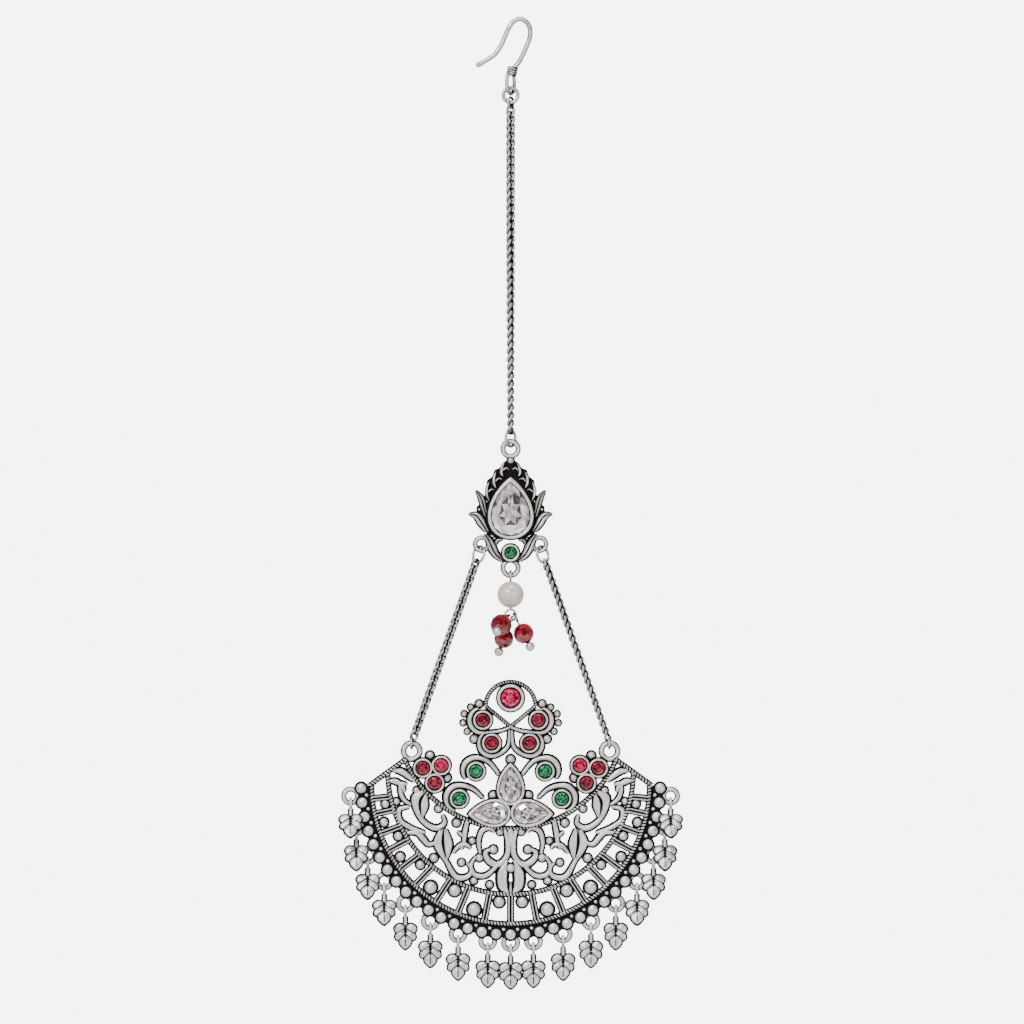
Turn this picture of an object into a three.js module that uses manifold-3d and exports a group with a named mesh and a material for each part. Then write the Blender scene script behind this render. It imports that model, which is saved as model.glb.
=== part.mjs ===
// Maang tikka: a forehead jewel of antique silver, hanging from its hair hook.
// Millimetres, +Z up, +X to the wearer's left as seen from the front, the front facing -Y.
// The origin is the inside of the hook's bend, where the jewel hangs.
// Flat work is drawn in a face frame: x right, y up, z out towards the viewer, turned upright at the end.
import * as THREE from "three";
import { mergeVertices } from "three/addons/utils/BufferGeometryUtils.js";
import Module from "manifold-3d";

const wasm = await Module();
wasm.setup();

// Driving dimensions

// Clear space between pieces that are linked but not joined
const CLEARANCE = 0.3;
// Corners nearer than this are one
const SMALLEST = 0.002;

// Hook
const HOOK_WIRE = 0.9; // wire diameter
const HOOK_DROP = 9.0; // from the seat down to the binding
const HOOK_REACH = 7.6; // from the seat out to the tip
const BIND_HEIGHT = 1.8;
const BIND_WIDTH = 2.3; // over the turns of the binding wire
const BIND_WAIST = 1.93; // between the turns
const HOOK_LOOP_WIRE = 0.72;
const HOOK_LOOP_WIDTH = 2.9; // closed loop at the foot, to the wire's middle
const HOOK_LOOP_HEIGHT = 4.0;
const HOOK_LOOP_TURN = 62; // degrees that the loop is turned from the face of the jewel
const AXIS_X = -1.6; // the jewel's upright middle line, beside the seat

// Rings and links between the chains and the cast pieces
const TOP_RING = { radius: 1.3, wire: 0.72, turn: 0 }; // radius to the wire's middle
const TOP_LINK = { radius: 0.95, wire: 0.5, turn: 62 };
const MEDALLION_RING = { radius: 1.45, wire: 0.56, turn: 54 };
const SIDE_RING = { radius: 1.5, wire: 0.52, turn: 50 };
const SIDE_RING_TILT = 18; // degrees that a side ring leans out along its chain
const SIDE_RING_OUT = 0.55; // side rings beside the middle of their loops
const END_LINK = { radius: 1.0, wire: 0.5, turn: 84 };

// Chains
const MAIN_CHAIN_LENGTH = 56.9;
const MAIN_CHAIN_WIDTH = 1.75;
const SIDE_CHAIN_WIDTH = 1.6;
const CHAIN_SIDES = 8;

// Medallion, in a face frame whose origin is the widest place of the big stone
const PLATE_DEPTH = 1.1; // cast plates, back to front
const MEDALLION_STONE = { length: 9.4, width: 6.9, rise: 0.88 };
const MEDALLION_WALL = 0.72; // setting wall round the stone
const MEDALLION_RIM = 1.7; // how far the big setting stands out in front of the plates
const HEART_GAP = 0.8; // between the pear setting and the green one
const FLAME_HEIGHT = 10.4; // from the stone's widest place to the top of the back plate
const FLAME_HALF_WIDTH = 4.75;
const GREEN_DROP = { stone: 1.95, wall: 0.66, rim: 1.69, rise: 0.385 }; // rim from the plate's middle
const MEDALLION_LOOP = { outer: 3.4, hole: 2.05 };
const SIDE_LOOP = { outer: 2.95, hole: 1.8 };
const SIDE_LOOP_X = 5.2;
const SIDE_LOOP_Y = -5.05;
const LOOP_DEPTH = 0.5; // cast loops and eyelets, back to front
const LOOP_SINK = 0.65; // how far a loop runs into the piece that it is cast on
const FLAME_PLATE = 0.6; // depth of the back plate behind the tongues
const FLAME_BEAD = { diameter: 1.3, rise: 1.5 }; // the bead at the back plate's top
const RELIEF = 0.15; // how far tongues and collars stand above the plain metal beside them

// Pearl drop
const PIN_WIRE = 0.4;
const PIN_EYE = 0.8; // radius of an eye, to the wire's middle
const PEARL = 4.8;
const DRILL = 1.0; // hole through the pearl and the red beads
const PIN_BALL = 1.7;
const LOWER_EYE = 1.0; // radius of the pearl pin's lower eye, which holds the three bead pins
const PEARL_PLAY = 0.1; // between the pearl and the eyes above and below it
const BALL_PLAY = 0.15; // between a red bead and the ball under it

// Fan pendant, in a face frame whose origin is the foot of the upright pear stone
const BAND = 0.95; // width of the milled bands
const FAN_BACK = -0.55; // this and the fronts below are measured forward from the plane of the eyelets
const BAND_FRONT = 0.75;
const LAYER = 0.05; // how much further forward each kind of soldered piece starts than the one before it
const RUNG_FRONT = 0.55;
const INNER_ARC = { radius: 20.8, height: 15.6 };
const MIDDLE_ARC = { radius: 22.1, height: 5.0 };
const OUTER_ARC = { radius: 25.0, height: 2.6 };
const EYELET_X = 17.8;
const EYELET_Y = 8.7;
const EYELET = { outer: 3.75, hole: 2.15 };
const END_BAR_ANGLE = 38; // slope of the end bars below level, degrees
const EDGE_BEAD = 2.16;
const EDGE_BEAD_RISE = 0.92;
const STRIP_FRONT = 0; // of the thin strip under the edge beads
const EDGE_BEAD_RADIUS = 26.9;
const EDGE_BEAD_STEP = 5.55; // degrees between beads
const EDGE_BEAD_PAIRS = 16;
const FRINGE_RADIUS = 28.4; // loops of the fringe, from the outer arc's centre
const FRINGE_SPREAD = 0.5; // how much further out the top loops stand
const FRINGE_PAIRS = 8;
const FRINGE_LOOP = { outer: 3.2, hole: 1.8 };
const RUNG_WIDTH = 0.85;
const SCROLL_FRONT = 0.6;
const BEZEL_WALL = 0.6;
const BEZEL_RIM = 1.45; // front of the settings
const STONE_RISE = 0.55; // table above the setting's rim
const SHOULDER_STONE = 2.4;
const GREEN_STONE = 2.35;
const CREST_TOP_STONE = 3.4;
const CREST_TOP_WALL = 0.8;
const FAN_PEAR = { length: 6.2, width: 3.9 };
const FAN_PEAR_WALL = 0.62;
const LYING_PEAR_TURN = 92; // degrees between the upright pear and the lying ones
const PEAR_SINK = { band: 0.15, side: 0.05, foot: 1.1 }; // how far each pear setting runs into its neighbour
const CREST_BEAD_SINK = 0.45; // how far the crest's bead runs into the upright pear's tip
const CREST_CROSSING = 5.9; // from that bead up to where the V bars cross
const CREST_CORNER = { x: 4.5, y: 3.7 }; // from the crossing to the foot of the arch
const CREST_TOP_LIFT = 1.5; // the top stone's middle above the arch's feet
const SETTING_FIT = 0.3; // room between stone and setting
const PEAR_TAPER = 0.7; // how much a pear stone narrows to its tip
const PEAR_TIP_GROWTH = 2.6; // how much longer a pear's wall makes it, as shares of the wall
const CUP_FLOOR = 0.3; // height of a setting's floor, as a share of the setting's depth
const CUP_TAPER = 0.25; // how much a pear setting closes in at its floor
const CUP_NARROW = 0.72; // width of a round setting's floor, as a share of its mouth
const STONE_FOOT = 0.62; // width of a stone's foot and of its table, as shares of its girdle
const STONE_TABLE = 0.6;
const STONE_GIRDLE = 0.25;
const CUT_PAST = 1; // how far a cutting tool runs past the face that it opens
const BEAD_RISE = 0.62; // rise of a soldered bead, as a share of its diameter
const BEAD_LEAST_RISE = 1.15;
const FLOWER_BEAD = { diameter: 1.8, rise: 1.7 }; // the field's middle bead and the crest's
const STONE_SIDES = 8;
const ROUND_SIDES = 10;
const BEAD_SIDES = 10;
const PEAR_SIDES = 12;

// Leaf drops
const LEAF_WIDTH = 4.1;
const LEAF_LENGTH = 4.6;
const LEAF_DEPTH = 0.7;
const LEAF_STEM = 0.85;
const LEAF_STEM_LENGTH = 1.6;
const LEAF_RING = { radius: 0.82, wire: 0.42 };
const LEAF_LEANS = [30, 22, 22, 22]; // degrees that the leaves resting on a loop stand forward, top first

// Colours and finishes
const SILVER = { color: 0x9a9894, roughness: 0.35, metalness: 1.0 };
const CLEAR_GLASS = { color: 0xcfc9cc, roughness: 0.08, metalness: 0.0 };
const RED_GLASS = { color: 0x8c1230, roughness: 0.1, metalness: 0.0 };
const GREEN_GLASS = { color: 0x0f6a3c, roughness: 0.1, metalness: 0.0 };
const CORAL = { color: 0xa31621, roughness: 0.2, metalness: 0.0 };
const PEARL_FINISH = { color: 0xd8d2c8, roughness: 0.3, metalness: 0.0 };

// Small helpers

const rad = THREE.MathUtils.degToRad;

/** A point at an angle from straight down about a centre on the middle line. */
function below(height, radius, turn) {
  return { x: radius * Math.sin(rad(turn)), y: height - radius * Math.cos(rad(turn)) };
}

/** Distance from a point on the middle line out to an arc, along a ray turned from straight down. */
function reachOf(arc, height, turn) {
  const along = (height - arc.height) * Math.cos(rad(turn));
  return along + Math.sqrt(along ** 2 - (height - arc.height) ** 2 + arc.radius ** 2);
}

/** The closed solid of a geometry: shared vertices merged, empty triangles dropped, faces turned outward. */
function solidOf(geometry) {
  geometry.deleteAttribute("normal");
  geometry.deleteAttribute("uv");
  const merged = mergeVertices(geometry, 1e-4);
  const index = Array.from(merged.index.array);
  const outward = [];
  const inward = [];
  for (let i = 0; i < index.length; i += 3) {
    const [a, b, c] = index.slice(i, i + 3);
    if (a === b || b === c || c === a) continue;
    outward.push(a, b, c);
    inward.push(a, c, b);
  }
  const [drawn, flipped] = [outward, inward].map((triVerts) => new wasm.Manifold(new wasm.Mesh({
    numProp: 3,
    vertProperties: merged.attributes.position.array,
    triVerts: Uint32Array.from(triVerts),
  })));
  return drawn.volume() > 0 ? drawn : flipped;
}

/** One solid from many that touch. */
function joined(solids) {
  return solids.reduce((whole, next) => whole.add(next));
}

/** The geometry of a solid, without the hair-thin triangles that cuts leave. */
function geometryOf(solid) {
  const mesh = solid.getMesh();
  const whole = new THREE.BufferGeometry();
  whole.setAttribute("position", new THREE.BufferAttribute(Float32Array.from(mesh.vertProperties), 3));
  whole.setIndex(Array.from(mesh.triVerts));
  const geometry = mergeVertices(whole, SMALLEST);
  const index = [];
  for (let i = 0; i < geometry.index.count; i += 3) {
    const [a, b, c] = geometry.index.array.slice(i, i + 3);
    if (a !== b && b !== c && c !== a) index.push(a, b, c);
  }
  geometry.setIndex(index);
  geometry.computeVertexNormals();
  return geometry;
}

/** A plate with the given outline, from one depth to another. */
function plate(shape, back, front, curveSegments = 6) {
  const geometry = new THREE.ExtrudeGeometry(shape, {
    depth: front - back,
    bevelEnabled: false,
    curveSegments,
  });
  geometry.translate(0, 0, back);
  return solidOf(geometry);
}

/** A solid of revolution about the depth axis, from pairs of radius and depth. */
function turned(x, y, profile, sides) {
  const geometry = new THREE.LatheGeometry(profile.map(([r, z]) => new THREE.Vector2(r, z)), sides);
  geometry.rotateX(Math.PI / 2);
  geometry.translate(x, y, 0);
  return solidOf(geometry);
}

/** A flat-backed bead standing out from the plane at depth back. */
function dome(x, y, diameter, back, rise = diameter / 2) {
  const r = diameter / 2;
  const shoulder = [r * 0.82, back + rise * 0.62];
  return turned(x, y, [[0, back + rise], shoulder, [r, back], [0, back]], BEAD_SIDES);
}

/** A flat ring whose middle is at the given depth. */
function loop(x, y, size, depth, sides = 8) {
  const back = depth - LOOP_DEPTH / 2;
  const front = depth + LOOP_DEPTH / 2;
  const outer = size.outer / 2;
  const hole = size.hole / 2;
  const profile = [[hole, back], [hole, front], [outer, front], [outer, back], [hole, back]];
  return turned(x, y, profile, sides);
}

/** A cup that holds a round stone: a wall with a floor that the stone stands over. */
function roundSetting(x, y, stone, wall, back, rim) {
  const inner = stone / 2 + SETTING_FIT;
  const outer = stone / 2 + wall;
  const floor = back + (rim - back) * CUP_FLOOR;
  const hollow = [[0, floor], [inner * CUP_NARROW, floor], [inner, rim]];
  return turned(x, y, [...hollow, [outer, rim], [outer, back], [0, back]], ROUND_SIDES);
}

/** A curved band of even width about a centre on the middle line, between two turns from straight down. */
function arcBand(arc, width, from, to, back, front, segments) {
  const shape = new THREE.Shape();
  const start = rad(from) - Math.PI / 2;
  const end = rad(to) - Math.PI / 2;
  shape.absarc(0, arc.height, arc.radius + width / 2, start, end, false);
  shape.absarc(0, arc.height, arc.radius - width / 2, end, start, true);
  return plate(shape, back, front, segments);
}

/** A straight bar between two places. */
function bar(a, b, width, back, front) {
  const geometry = new THREE.BoxGeometry(Math.hypot(b.x - a.x, b.y - a.y), width, front - back);
  geometry.rotateZ(Math.atan2(b.y - a.y, b.x - a.x));
  geometry.translate((a.x + b.x) / 2, (a.y + b.y) / 2, (back + front) / 2);
  return solidOf(geometry);
}

/** A raised, ridged scroll along a smooth line, its width running through the given widths. */
function scroll(points, widths, back, front, steps = points.length + 1) {
  const stops = points.map((p) => new THREE.Vector3(p.x, p.y, 0));
  const line = new THREE.CatmullRomCurve3(stops, false, "centripetal");
  const SIDES = 3;
  const positions = [];
  const index = [];
  for (let i = 0; i <= steps; i += 1) {
    const t = i / steps;
    const p = line.getPoint(t);
    const way = line.getTangent(t);
    const place = t * (widths.length - 1);
    const low = Math.min(Math.floor(place), widths.length - 2);
    const half = THREE.MathUtils.lerp(widths[low], widths[low + 1], place - low) / 2;
    for (const [side, depth] of [[-1, back], [0, front], [1, back]]) {
      positions.push(p.x + way.y * side * half, p.y - way.x * side * half, depth);
    }
  }
  for (let i = 0; i < steps; i += 1) {
    for (let k = 0; k < SIDES; k += 1) {
      const a = i * SIDES + k;
      const b = i * SIDES + ((k + 1) % SIDES);
      index.push(a, b, a + SIDES, b, b + SIDES, a + SIDES);
    }
  }
  const last = steps * SIDES;
  index.push(0, 2, 1, last, last + 1, last + 2);
  const geometry = new THREE.BufferGeometry();
  geometry.setAttribute("position", new THREE.Float32BufferAttribute(positions, 3));
  geometry.setIndex(index);
  return solidOf(geometry);
}

/** The outline of a pear, its tip up, its widest place at the origin. */
function pearPoints(length, width, count) {
  const widest = Math.acos(2 / (2 + PEAR_TAPER) - 1); // the curve's own parameter where it is widest
  const halfWidthAt = (t) => Math.sin(t) * Math.abs(Math.sin(t / 2)) ** PEAR_TAPER;
  const points = [];
  for (let i = 0; i < count; i += 1) {
    const t = (i / count) * 2 * Math.PI;
    const x = ((width / 2) * halfWidthAt(t)) / halfWidthAt(widest);
    const y = (length / 2) * (Math.cos(t) - Math.cos(widest));
    points.push(new THREE.Vector2(-x, y));
  }
  return points;
}

/** A closed solid through rings of points that all have the same count, each at its own depth. */
function stacked(rings) {
  const positions = [];
  const index = [];
  const count = rings[0].points.length;
  for (const ring of rings) {
    for (const p of ring.points) positions.push(p.x, p.y, ring.depth);
  }
  for (let level = 0; level < rings.length - 1; level += 1) {
    for (let i = 0; i < count; i += 1) {
      const a = level * count + i;
      const b = level * count + ((i + 1) % count);
      index.push(a, b, a + count, b, b + count, a + count);
    }
  }
  const top = (rings.length - 1) * count;
  for (let i = 1; i < count - 1; i += 1) {
    index.push(0, i + 1, i, top, top + i, top + i + 1);
  }
  const geometry = new THREE.BufferGeometry();
  geometry.setAttribute("position", new THREE.Float32BufferAttribute(positions, 3));
  geometry.setIndex(index);
  return geometry;
}

/** The outline of a pear stone grown evenly by a wall, which is longer at the pointed tip. */
function pearRing(stone, grow, depth, place) {
  const points = pearPoints(stone.length + PEAR_TIP_GROWTH * grow, stone.width + 2 * grow, PEAR_SIDES);
  const middle = new THREE.Vector2(place.x, place.y);
  return { depth, points: points.map((p) => p.rotateAround(new THREE.Vector2(), place.turn).add(middle)) };
}

/** A pear-shaped cup. */
function pearSetting(stone, wall, back, rim, place) {
  const floor = back + (rim - back) * CUP_FLOOR;
  const body = solidOf(stacked([pearRing(stone, wall, back, place), pearRing(stone, wall, rim, place)]));
  const hollow = solidOf(stacked([
    pearRing(stone, SETTING_FIT - CUP_TAPER, floor, place),
    pearRing(stone, SETTING_FIT, rim + CUT_PAST, place),
  ]));
  return body.subtract(hollow);
}

/** A ring of the girdle, crown or table of a round stone. */
function roundRing(diameter, depth, place, sides = STONE_SIDES) {
  const points = [];
  for (let i = 0; i < sides; i += 1) {
    const t = (i / sides) * 2 * Math.PI;
    const out = new THREE.Vector2(Math.cos(t), Math.sin(t)).multiplyScalar(diameter / 2);
    points.push(out.add(new THREE.Vector2(place.x, place.y)));
  }
  return { depth, points };
}

/** A cut stone from its ring function: flat foot, pavilion, girdle, crown facets and table. */
function cutStone(ringAt, back, rim, rise) {
  const foot = back + (rim - back) * CUP_FLOOR + CLEARANCE;
  return stacked([
    ringAt(STONE_FOOT, foot),
    ringAt(1, rim - STONE_GIRDLE),
    ringAt(1, rim),
    ringAt(STONE_TABLE, rim + rise),
  ]);
}

/** A wire bent round a closed ring, its middle line a circle that may be stretched upright. */
function wireRing(radius, wire, stretch = 1, sides = 5, steps = 10) {
  const positions = [];
  const index = [];
  for (let i = 0; i < steps; i += 1) {
    const t = (i / steps) * 2 * Math.PI;
    for (let k = 0; k < sides; k += 1) {
      const s = (k / sides) * 2 * Math.PI;
      const out = (wire / 2) * Math.cos(s);
      const depth = (wire / 2) * Math.sin(s);
      positions.push((radius + out) * Math.cos(t), depth, (radius * stretch + out) * Math.sin(t));
    }
  }
  for (let i = 0; i < steps; i += 1) {
    for (let k = 0; k < sides; k += 1) {
      const a = i * sides + k;
      const b = i * sides + ((k + 1) % sides);
      const c = ((i + 1) % steps) * sides + k;
      const d = ((i + 1) % steps) * sides + ((k + 1) % sides);
      index.push(a, c, b, b, c, d);
    }
  }
  const geometry = new THREE.BufferGeometry();
  geometry.setAttribute("position", new THREE.Float32BufferAttribute(positions, 3));
  geometry.setIndex(index);
  return geometry;
}

/** A round wire along a path. */
function wireAlong(points, wire, steps, sides = 6) {
  const path = new THREE.CatmullRomCurve3(points, false, "centripetal");
  const ring = [];
  for (let k = 0; k < sides; k += 1) {
    const t = (k / sides) * 2 * Math.PI;
    ring.push(new THREE.Vector2((wire / 2) * Math.cos(t), (wire / 2) * Math.sin(t)));
  }
  return new THREE.ExtrudeGeometry(new THREE.Shape(ring), { steps, extrudePath: path, bevelEnabled: false });
}

// The model

const group = new THREE.Group();

/** Adds one named piece to a parent group. */
function addPiece(parent, name, geometry, finish) {
  const mesh = new THREE.Mesh(geometry, new THREE.MeshStandardMaterial(finish));
  mesh.name = name;
  parent.add(mesh);
  return mesh;
}

/** A group that stands a face frame upright at a height on the jewel's middle line. */
function faceFrame(x, z) {
  const frame = new THREE.Group();
  frame.position.set(x, 0, z);
  frame.rotation.x = Math.PI / 2;
  group.add(frame);
  return frame;
}

// Heights of the linked pieces, from the hook down

const linkDrop = (upper, lower) => upper / 2 + CLEARANCE + lower / 2;
const hookLoopTop = -HOOK_DROP - BIND_HEIGHT / 2 + HOOK_WIRE;
const hookLoopFoot = hookLoopTop - HOOK_LOOP_HEIGHT;
const topRingHeight = hookLoopFoot + linkDrop(HOOK_LOOP_WIRE, TOP_RING.wire) - TOP_RING.radius;
const topLinkHeight = topRingHeight - TOP_RING.radius
  + linkDrop(TOP_RING.wire, TOP_LINK.wire) - TOP_LINK.radius;
const chainTop = topLinkHeight - TOP_LINK.radius - TOP_LINK.wire / 2 - CLEARANCE;
const chainFoot = chainTop - MAIN_CHAIN_LENGTH;
const medallionRingHeight = chainFoot - CLEARANCE - MEDALLION_RING.wire / 2 - MEDALLION_RING.radius;
const loopMiddle = (size) => (size.outer + size.hole) / 4;
const loopWire = (size) => (size.outer - size.hole) / 2;
const topLoopHeight = medallionRingHeight - MEDALLION_RING.radius
  + linkDrop(MEDALLION_RING.wire, loopWire(MEDALLION_LOOP)) - loopMiddle(MEDALLION_LOOP);
const medallionHeight = topLoopHeight - FLAME_HEIGHT - MEDALLION_LOOP.outer / 2;

/** The hook: bend, flared tip, bound shank and closed foot loop, all one wire. */
function hookSolid() {
  // Points of the wire's middle line as shares of the hook's reach and drop
  const route = [
    { reach: -0.19, drop: 0.98 },
    { reach: -0.02, drop: 0.82 },
    { reach: 0.13, drop: 0.57 },
    { reach: 0.24, drop: 0.33 },
    { reach: 0.25, drop: 0.15 },
    { reach: 0.16, drop: 0.01 },
    { reach: 0, drop: -0.05 },
    { reach: -0.15, drop: 0.01 },
    { reach: -0.26, drop: 0.14 },
    { reach: -0.34, drop: 0.3 },
    { reach: -0.44, drop: 0.48 },
    { reach: -0.6, drop: 0.67 },
    { reach: -0.81, drop: 0.79 },
    { reach: -0.97, drop: 0.87 },
  ];
  const bend = wireAlong(
    route.map((p) => new THREE.Vector3(p.reach * HOOK_REACH, 0, -p.drop * HOOK_DROP)),
    HOOK_WIRE,
    20,
    6,
  );
  const tip = route[route.length - 1];
  const tipEnd = new THREE.SphereGeometry(HOOK_WIRE / 2, 6, 4);
  tipEnd.translate(tip.reach * HOOK_REACH, 0, -tip.drop * HOOK_DROP);
  const turns = 2; // of the binding wire
  const binding = [[0, -BIND_HEIGHT / 2]];
  for (let i = 0; i < turns; i += 1) {
    const low = -BIND_HEIGHT / 2 + (i * BIND_HEIGHT) / turns;
    binding.push([BIND_WAIST / 2, low], [BIND_WIDTH / 2, low + BIND_HEIGHT / turns / 2]);
  }
  binding.push([BIND_WAIST / 2, BIND_HEIGHT / 2], [0, BIND_HEIGHT / 2]);
  const wrap = new THREE.LatheGeometry(binding.map(([r, z]) => new THREE.Vector2(r, z)), 10);
  wrap.rotateX(Math.PI / 2);
  wrap.translate(AXIS_X + HOOK_WIRE / 4, 0, -HOOK_DROP);
  const foot = wireRing(HOOK_LOOP_WIDTH / 2, HOOK_LOOP_WIRE, HOOK_LOOP_HEIGHT / HOOK_LOOP_WIDTH, 6, 12);
  foot.rotateZ(rad(HOOK_LOOP_TURN));
  foot.translate(AXIS_X, 0, hookLoopTop - HOOK_LOOP_HEIGHT / 2);
  return joined([solidOf(bend), solidOf(tipEnd), solidOf(wrap), solidOf(foot)]);
}

addPiece(group, "hook", geometryOf(hookSolid()), SILVER);

/** A free ring or link hung at a height, beside the middle line by x. */
function addRing(name, size, x, height, tilt = 0) {
  const ring = wireRing(size.radius, size.wire);
  ring.rotateZ(rad(size.turn));
  ring.rotateY(rad(tilt));
  const mesh = addPiece(group, name, geometryOf(solidOf(ring)), SILVER);
  mesh.position.set(AXIS_X + x, 0, height);
  return mesh;
}

/** A chain between two places, as the tube that its links fill. */
function addChain(name, from, to, width) {
  const tube = wireAlong([from, from.clone().lerp(to, 0.5), to], width, 2, CHAIN_SIDES);
  addPiece(group, name, geometryOf(solidOf(tube)), SILVER);
}

addRing("top_ring", TOP_RING, 0, topRingHeight);
addRing("top_link", TOP_LINK, 0, topLinkHeight);
addChain(
  "main_chain",
  new THREE.Vector3(AXIS_X, 0, chainTop),
  new THREE.Vector3(AXIS_X, 0, chainFoot),
  MAIN_CHAIN_WIDTH,
);
addRing("medallion_ring", MEDALLION_RING, 0, medallionRingHeight);

// Medallion

const medallionBack = -PLATE_DEPTH / 2;
const medallionRim = medallionBack + MEDALLION_RIM + PLATE_DEPTH;
const upright = { x: 0, y: 0, turn: 0 };
const pearFoot = pearRing(MEDALLION_STONE, MEDALLION_WALL, 0, upright).points[PEAR_SIDES / 2].y;
const greenDropRadius = GREEN_DROP.stone / 2 + GREEN_DROP.wall;
const greenDropY = pearFoot - HEART_GAP - greenDropRadius;
const bottomLoopY = greenDropY - greenDropRadius - MEDALLION_LOOP.outer / 2 + LOOP_SINK;

/** The medallion's cast and soldered metal. */
function medallionSolid() {
  const pieces = [];
  // Scalloped outline of the back plate as shares of its half width and height
  const scallops = [
    { out: 0.3, up: 0.93 },
    { out: 0.42, up: 0.84 },
    { out: 0.62, up: 0.8 },
    { out: 0.7, up: 0.69 },
    { out: 0.9, up: 0.62 },
    { out: 0.94, up: 0.48 },
    { out: 1.0, up: 0.34 },
    { out: 0.88, up: 0.14 },
  ];
  const outline = new THREE.Shape();
  outline.moveTo(0, FLAME_HEIGHT);
  for (const p of scallops) outline.lineTo(p.out * FLAME_HALF_WIDTH, p.up * FLAME_HEIGHT);
  outline.lineTo(0, -MEDALLION_STONE.width / 4);
  for (const p of [...scallops].reverse()) outline.lineTo(-p.out * FLAME_HALF_WIDTH, p.up * FLAME_HEIGHT);
  outline.closePath();
  pieces.push(plate(outline, medallionBack, medallionBack + FLAME_PLATE));
  pieces.push(pearSetting(MEDALLION_STONE, MEDALLION_WALL, medallionBack, medallionRim, upright));
  pieces.push(roundSetting(0, greenDropY, GREEN_DROP.stone, GREEN_DROP.wall, medallionBack, GREEN_DROP.rim));
  pieces.push(loop(0, FLAME_HEIGHT + MEDALLION_LOOP.outer / 2, MEDALLION_LOOP, 0, 10));
  pieces.push(dome(0, FLAME_HEIGHT - LOOP_SINK * 0.65, FLAME_BEAD.diameter, medallionBack, FLAME_BEAD.rise));
  pieces.push(loop(0, bottomLoopY, MEDALLION_LOOP, 0, 10));
  // Tongues and leaves on the right; x and y are shares of the back plate's half width and height
  const strokes = [
    { line: [[0.2, 0.93], [0.42, 0.82], [0.36, 0.75], [0.22, 0.79]], widths: [0.5, 1.0, 0.7, 0.5] },
    { line: [[0.55, 0.82], [0.78, 0.68], [0.62, 0.58], [0.5, 0.68]], widths: [0.5, 1.0, 0.7, 0.5] },
    { line: [[0.82, 0.66], [1.0, 0.46], [0.88, 0.32], [0.76, 0.46]], widths: [0.5, 1.1, 0.8, 0.5] },
    { line: [[0.78, 0.0], [1.02, 0.2], [1.36, 0.44]], widths: [1.5, 1.5, 0.3] },
    { line: [[0.66, -0.26], [1.12, -0.14], [1.62, 0.02]], widths: [1.3, 1.5, 0.3] },
    { line: [[0.5, -0.28], [0.86, -0.42], [0.58, -0.58], [0.4, -0.74], [0.08, -0.84]],
      widths: [1.0, 1.1, 0.9, 0.9, 0.8] },
  ];
  for (const side of [-1, 1]) {
    for (const stroke of strokes) {
      const points = stroke.line.map(([x, y]) => ({ x: side * x * FLAME_HALF_WIDTH, y: y * FLAME_HEIGHT }));
      pieces.push(scroll(points, stroke.widths, medallionBack, medallionBack + PLATE_DEPTH + RELIEF));
    }
    pieces.push(loop(side * SIDE_LOOP_X, SIDE_LOOP_Y, SIDE_LOOP, 0, 10));
  }
  return joined(pieces);
}

const medallion = faceFrame(AXIS_X, medallionHeight);
addPiece(medallion, "medallion", geometryOf(medallionSolid()), SILVER);
const pearRingAt = (stone, place) => (share, depth) => pearRing(
  { length: stone.length * share, width: stone.width * share },
  0,
  depth,
  place,
);
const roundRingAt = (diameter, place) => (share, depth) => roundRing(diameter * share, depth, place);
addPiece(
  medallion,
  "medallion_pear",
  geometryOf(solidOf(cutStone(
    pearRingAt(MEDALLION_STONE, upright),
    medallionBack,
    medallionRim,
    MEDALLION_STONE.rise,
  ))),
  CLEAR_GLASS,
);
addPiece(
  medallion,
  "medallion_green",
  geometryOf(solidOf(cutStone(
    roundRingAt(GREEN_DROP.stone, { x: 0, y: greenDropY }),
    medallionBack,
    GREEN_DROP.rim,
    GREEN_DROP.rise,
  ))),
  GREEN_GLASS,
);

// Pearl drop

/** The middle of the bottom wire of a loop cast at a height in a face frame. */
const footWire = (frameHeight, y, size) => frameHeight + y - loopMiddle(size);
const pinEyeHeight = footWire(medallionHeight, bottomLoopY, MEDALLION_LOOP)
  + linkDrop(loopWire(MEDALLION_LOOP), PIN_WIRE) - PIN_EYE;
const pearlHeight = pinEyeHeight - PIN_EYE - PIN_WIRE / 2 - PEARL_PLAY - PEARL / 2;
const lowerEyeHeight = pearlHeight - PEARL / 2 - PEARL_PLAY - LOWER_EYE - PIN_WIRE / 2;

/** A round ball with a hole drilled through it from top to bottom. */
function drilledBall(diameter, sides) {
  const ball = new THREE.SphereGeometry(diameter / 2, sides, sides / 2);
  ball.rotateX(Math.PI / 2);
  const drill = new THREE.CylinderGeometry(DRILL / 2, DRILL / 2, diameter * 1.2, 6);
  drill.rotateX(Math.PI / 2);
  return solidOf(ball).subtract(solidOf(drill));
}

/** A straight wire along Z from one height to another. */
function shaft(from, to) {
  const wire = new THREE.CylinderGeometry(PIN_WIRE / 2, PIN_WIRE / 2, Math.abs(to - from), 5);
  wire.rotateX(Math.PI / 2);
  wire.translate(0, 0, (from + to) / 2);
  return solidOf(wire);
}

/** An eye of wire about the origin, in the plane turned from the face by an angle. */
function eye(turn, radius = PIN_EYE) {
  const ring = wireRing(radius, PIN_WIRE, 1, 5, 8);
  ring.rotateZ(rad(turn));
  return solidOf(ring);
}

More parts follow.
